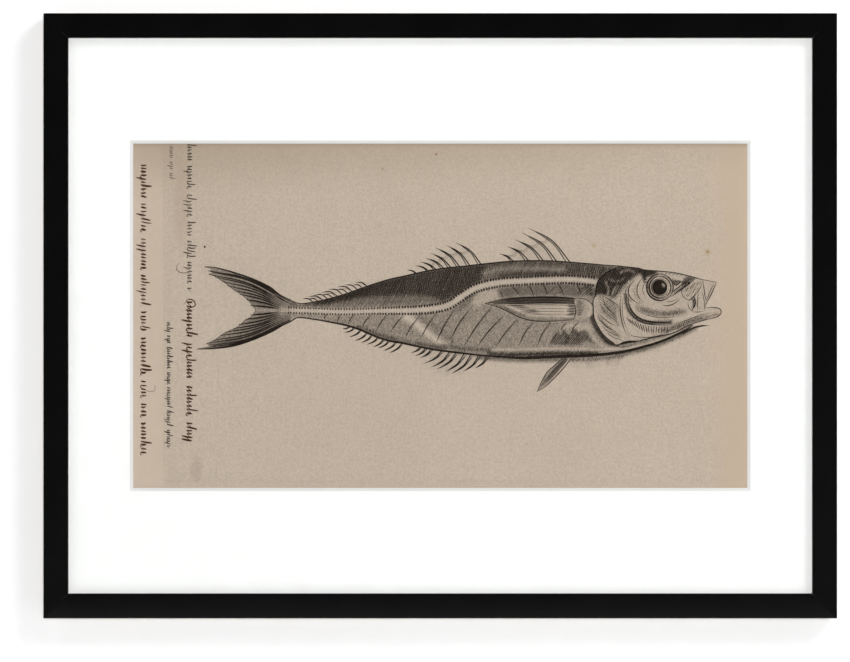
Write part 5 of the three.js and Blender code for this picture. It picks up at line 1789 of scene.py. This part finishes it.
    # the shade under the belly, laid on the paper
    shade = closed([96, -34.2, 123, -33.2, 150, -30, 176, -23.4, 198, -14],
                   [217, -8.4, 206, -11.6, 186, -21.4, 160, -30.4, 130, -36.4, 100, -37.4])
    pen.hatch(shade, 60, 1.4, 0.55, 49, 0.24)
    pen.line([196, -14.4, 204, -10, 211, -8.2, 217.5, -8], 1.3, 0.8, 0.2)


# --- the pen strokes in the margin: the size and run of old handwriting, with no letters in it ---


def scribble(pen, random, x, top, bottom, tall, width, slant=0.25, lift=0.25):
    """A column of meaningless pen strokes down the sheet from top to bottom, its upper side to the right."""

    def at(along, up):
        return (x + up, top - along - slant * up)

    place, end = 0.0, top - bottom
    while place < end:
        count = int(random.integers(4, 11))
        for k in range(count):
            up = tall * random.uniform(0.9, 1.1)
            kind = random.random()
            if kind < 0.16:
                up *= 1.9
            foot = -0.85 * tall if kind > 0.88 else 0.0
            lean = random.uniform(-0.15, 0.15) * tall
            bold = width * random.uniform(0.8, 1.25)
            stem = [at(place + lean, up), at(place + 0.12 * tall, up * 0.5), at(place + 0.16 * tall, foot)]
            pen.line(stem, bold, 0.7, 0.6, 0.9)
            if k + 1 < count and random.random() > lift:
                hair = [at(place + 0.16 * tall, foot * 0.4), at(place + 0.5 * tall, 0.42 * tall),
                    at(place + 0.72 * tall, 0.86 * tall)]
                pen.line(hair, width * 0.42, 0.7, 0.7, 0.9)
            elif random.random() < 0.5:
                bow = [at(place + 0.16 * tall, 0.1 * tall), at(place + 0.5 * tall, -0.05 * tall),
                    at(place + 0.6 * tall, 0.3 * tall)]
                pen.line(bow, width * 0.7, 0.6, 0.5, 0.9)
            place += 0.64 * tall * random.uniform(0.85, 1.2)
            if place > end:
                return
        if random.random() < 0.4:
            pen.run([at(place, 0), at(place + 0.1, 0.2)], [width * 0.5, width * 0.4])
        place += tall * random.uniform(0.7, 1.1)


def write_margin(brown, grey, seed):
    """The rows of strokes: brown ink in two rows, thin printed grey in two."""
    random = np.random.default_rng(seed)
    scribble(brown, random, -242.0, 122.5, -113.5, 4.4, 1.9)
    scribble(brown, random, -205.0, 12.0, -101.0, 4.6, 1.35)
    scribble(grey, random, -204.4, 139.0, 21.0, 3.8, 0.9, 0.2)
    scribble(grey, random, -220.8, -5.0, -105.0, 2.7, 0.85, 0.3)
    scribble(grey, random, -218.6, 137.0, 111.5, 2.6, 0.5, 0.3)
    brown.line([-207, 9, -204, 13, -199.5, 12.4, -198, 8.4, -202.6, 6.2, -206.4, 4.2], 0.9)
    brown.line([-243, -58, -237.5, -60.5, -231.5, -61, -230.4, -56.4, -234, -53.4], 0.9)
    grey.line([-210.8, 44, -213, 37.4, -207.8, 34.6, -200, 36], 0.5)
    for x, z, wide in ((-190.2, 55.6, 2.2), (-212.6, 128, 0.7), (-58.5, 92, 0.5), (150.6, 88, 0.5), (34,
        104, 0.5),
                       (-144, 96, 0.5), (-166, -48, 0.45), (60, -86, 0.5), (132, -70, 0.45), (-92, -104,
                           0.5)):
        grey.dot(x, z, wide)


class FRAMED_PRINT_OT_engraving(bpy.types.Operator):
    """Draws the fish in raised ink lines and stippled dots"""

    bl_idname = "framed_print.engraving"
    bl_label = "Engraved Fish"

    def execute(self, context):
        settings = context.scene.framed_print_print
        ink = ink_finish("printing_ink", settings.ink, 0.75)
        tree = line_tree()
        values = {"Weight": settings.line_weight, "Material": ink}
        for part, draw in (
            ("back", draw_back), ("flank", draw_flank), ("tail", draw_tail), ("fins", draw_fins), ("head",
                draw_head)
        ):
            pen = Pen()
            draw(pen)
            name = part + "_ink_lines"
            finish_piece(name, pen.mesh(name, tree, values))
        dots = self.stipple_seed()
        values = {"Density": settings.dot_density * 1e4, "Seed": settings.seed, "Material": ink}
        finish_piece("flank_ink_dots", grown("flank_ink_dots", dots, stipple_tree(), values))
        return {"FINISHED"}

    @staticmethod
    def stipple_seed():
        """A coarse flat mesh of the flank and gill cover that says how thickly the dots lie."""
        low, high = BODY.min(axis=0), HEAD.max(axis=0)
        cell = 2.5
        columns, rows = np.arange(low[0], high[0] + cell, cell), np.arange(low[1], high[1] + cell, cell)
        x, z = np.meshgrid(columns, rows)
        points = np.stack([x.ravel(), z.ravel()], axis=1)
        within = inside(points, BODY) | inside(points, HEAD)
        away, _ = distance(points, smooth(BAND, 4.0))
        ink = np.where(within, ink_at(points), 0)
        below = points[:, 1] < np.interp(points[:, 0], *BAND.T) - 1
        eye = np.linalg.norm(points - EYE, axis=1) < 12
        fin = inside(points, PECTORAL)
        dots = np.where(below & within & ~eye & ~fin, np.clip((ink - 0.10) * 2.2, 0, 1),
            np.clip((ink - 0.3) * 0.5, 0, 0.25))
        dots = np.where(within & ~eye & ~fin & (away > 2.6), dots, 0)
        count = len(columns)
        faces = []
        for r in range(len(rows) - 1):
            for c in range(count - 1):
                corners = (r * count + c, r * count + c + 1, (r + 1) * count + c + 1, (r + 1) * count + c)
                if all(within[k] for k in corners):
                    faces.append(corners)
        mesh = bpy.data.meshes.new("stipple_seed")
        mesh.from_pydata([(px * MM, pz * MM, 0) for px, pz in points], [], faces)
        mesh.attributes.new("dots", "FLOAT", "POINT").data.foreach_set("value", dots.astype(np.float32))
        return mesh


class FRAMED_PRINT_OT_margin(bpy.types.Operator):
    """Draws the rows of meaningless pen strokes in the left margin"""

    bl_idname = "framed_print.margin"
    bl_label = "Margin Strokes"

    def execute(self, context):
        settings = context.scene.framed_print_print
        brown, grey = Pen(), Pen()
        write_margin(brown, grey, settings.seed)
        tree = line_tree()
        finishes = (
            ("brown_pen_strokes", brown, ink_finish("brown_writing_ink", settings.writing, 0.6)),
            ("grey_pen_strokes", grey, ink_finish("thin_printing_ink", (0.028, 0.023, 0.019), 0.75)),
        )
        for name, pen, ink in finishes:
            mesh = pen.mesh(name, tree, {"Weight": settings.line_weight, "Material": ink})
            finish_piece(name, mesh)
        return {"FINISHED"}


# --- wall, floor, light and camera ---


def stage_plane(name, corners, colour, one_sided):
    """A plain pale surface. A one-sided one is clear from behind, so that the back can be seen through it."""
    mesh = bpy.data.meshes.new(name)
    mesh.from_pydata(corners, [], [(0, 1, 2, 3)])
    plane = link(bpy.data.objects.new(name, mesh))
    f = Finish(name)
    f.colour = full(colour)
    f.layer(lighter(colour, 0.985), f.noise(f.place(), 400.0, 3), 0.3, 0.7)
    inputs = {"Base Color": f.colour, "Roughness": 0.9, "Specular IOR Level": 0.1}
    surface = f.out("ShaderNodeBsdfPrincipled", inputs)
    if one_sided:
        behind = f.add("ShaderNodeNewGeometry").outputs["Backfacing"]
        clear = f.out("ShaderNodeBsdfTransparent")
        surface = f.out("ShaderNodeMixShader", {0: behind, 1: surface, 2: clear})
        plane.visible_shadow = False
        plane.visible_diffuse = False
    f.add("ShaderNodeOutputMaterial", {"Surface": surface})
    mesh.materials.append(f.material)
    return plane


def area_light(name, place, size, power, mirrored=False):
    """A soft square light that faces the print's middle, and is kept out of the glass unless mirrored."""
    data = bpy.data.lights.new(name, "AREA")
    data.shape, data.size, data.energy = "SQUARE", size, power
    lamp = link(bpy.data.objects.new(name, data))
    lamp.location = place
    aim = Vector((0, 0, CENTRE_Z)) - Vector(place)
    lamp.rotation_euler = aim.to_track_quat("-Z", "Y").to_euler()
    lamp.visible_camera = False
    lamp.visible_glossy = mirrored
    return lamp


class FRAMED_PRINT_OT_stage(bpy.types.Operator):
    """Sets up the wall, floor, lights, surroundings and camera"""

    bl_idname = "framed_print.stage"
    bl_label = "Stage"

    def execute(self, context):
        settings = context.scene.framed_print_stage
        floor = FRAME_BOTTOM - settings.floor_drop
        side, top, near = 3.2, 2.4, -4.0
        wall = [(-side, WALL_Y, floor), (side, WALL_Y, floor), (side, WALL_Y, top), (-side, WALL_Y, top)]
        stage_plane("studio_wall", wall, settings.wall, True)
        ground = [(-side, near, floor), (side, near, floor), (side, -near, floor), (-side, -near, floor)]
        stage_plane("studio_floor", ground, settings.floor, False)

        area_light("key_light", (2.0, -2.3, 2.0), 1.3, settings.key)
        area_light("front_soft_light", (0.1, -7.0, 0.0), 0.5, settings.fill)
        area_light("left_soft_light", (-2.8, -2.2, 0.6), 2.0, settings.side)
        area_light("right_soft_light", (2.9, -2.2, 0.4), 2.0, settings.side)
        area_light("back_soft_light", (-1.4, 2.6, 1.6), 2.2, settings.back, True)
        self.surroundings(context.scene, settings)

        data = bpy.data.cameras.new("straight_on")
        data.lens, data.sensor_width, data.clip_start, data.clip_end = settings.lens, 36.0, 0.05, 60.0
        camera = link(bpy.data.objects.new("straight_on", data))
        away = VIEW_WIDTH * settings.lens / data.sensor_width
        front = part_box("rail_top")[0].y
        camera.location = (CAMERA_ASIDE, front - away, CENTRE_Z + CAMERA_ASIDE)
        camera.rotation_euler = (math.pi / 2, 0, 0)
        context.scene.camera = camera
        context.scene.view_settings.view_transform = "Standard"
        return {"FINISHED"}

    @staticmethod
    def surroundings(scene, settings):
        """Even pale surroundings. What lights the picture is dimmer, and dark in front of the glass."""
        world = bpy.data.worlds.new("studio")
        world.use_nodes = True
        scene.world = world
        n = Nodes(world.node_tree)
        n.tree.nodes.clear()
        heading = n.add("ShaderNodeTexCoord").outputs["Generated"]
        ahead = n.add("ShaderNodeSeparateXYZ", {0: heading}).outputs[1]
        spread = {"Value": ahead, "From Min": -0.93, "From Max": -0.5, "To Min": 0.02,
            "To Max": settings.sky}
        light = n.add("ShaderNodeMapRange", spread, interpolation_type="SMOOTHSTEP").outputs["Result"]
        seen = n.add("ShaderNodeLightPath").outputs["Is Camera Ray"]
        strength = n.out("ShaderNodeMix", {0: seen, 2: light, 3: 0.92})
        backdrop = n.out("ShaderNodeBackground", {"Color": (1, 1, 1, 1), "Strength": strength})
        n.add("ShaderNodeOutputWorld", {"Surface": backdrop})


OPERATORS = (
    FRAMED_PRINT_OT_rails,
    FRAMED_PRINT_OT_glazing,
    FRAMED_PRINT_OT_boards,
    FRAMED_PRINT_OT_printed_sheet,
    FRAMED_PRINT_OT_engraving,
    FRAMED_PRINT_OT_margin,
    FRAMED_PRINT_OT_fasteners,
    FRAMED_PRINT_OT_hangers,
    FRAMED_PRINT_OT_bumpers,
    FRAMED_PRINT_OT_stage,
)
SETTINGS = {
    "framed_print_frame": FrameSettings,
    "framed_print_hardware": HardwareSettings,
    "framed_print_print": PrintSettings,
    "framed_print_stage": StageSettings,
}


class FRAMED_PRINT_PT_panel(bpy.types.Panel):
    """Lists the pieces and the settings they are made from"""

    bl_label = "Framed Fish Engraving"
    bl_idname = "FRAMED_PRINT_PT_panel"
    bl_space_type = "VIEW_3D"
    bl_region_type = "UI"
    bl_category = "Framed Print"

    def draw(self, context):
        for operator in OPERATORS:
            self.layout.operator(operator.bl_idname)
        for name, group in SETTINGS.items():
            box = self.layout.box()
            for key in group.__annotations__:
                box.prop(getattr(context.scene, name), key)


def register():
    for group in SETTINGS.values():
        bpy.utils.register_class(group)
    for name, group in SETTINGS.items():
        setattr(bpy.types.Scene, name, bpy.props.PointerProperty(type=group))
    for operator in OPERATORS:
        bpy.utils.register_class(operator)
    bpy.utils.register_class(FRAMED_PRINT_PT_panel)


def unregister():
    bpy.utils.unregister_class(FRAMED_PRINT_PT_panel)
    for operator in reversed(OPERATORS):
        bpy.utils.unregister_class(operator)
    for name, group in SETTINGS.items():
        delattr(bpy.types.Scene, name)
        bpy.utils.unregister_class(group)


def main():
    register()
    for operator in OPERATORS:
        group, name = operator.bl_idname.split(".")
        getattr(getattr(bpy.ops, group), name)()


if __name__ == "__main__":
    main()
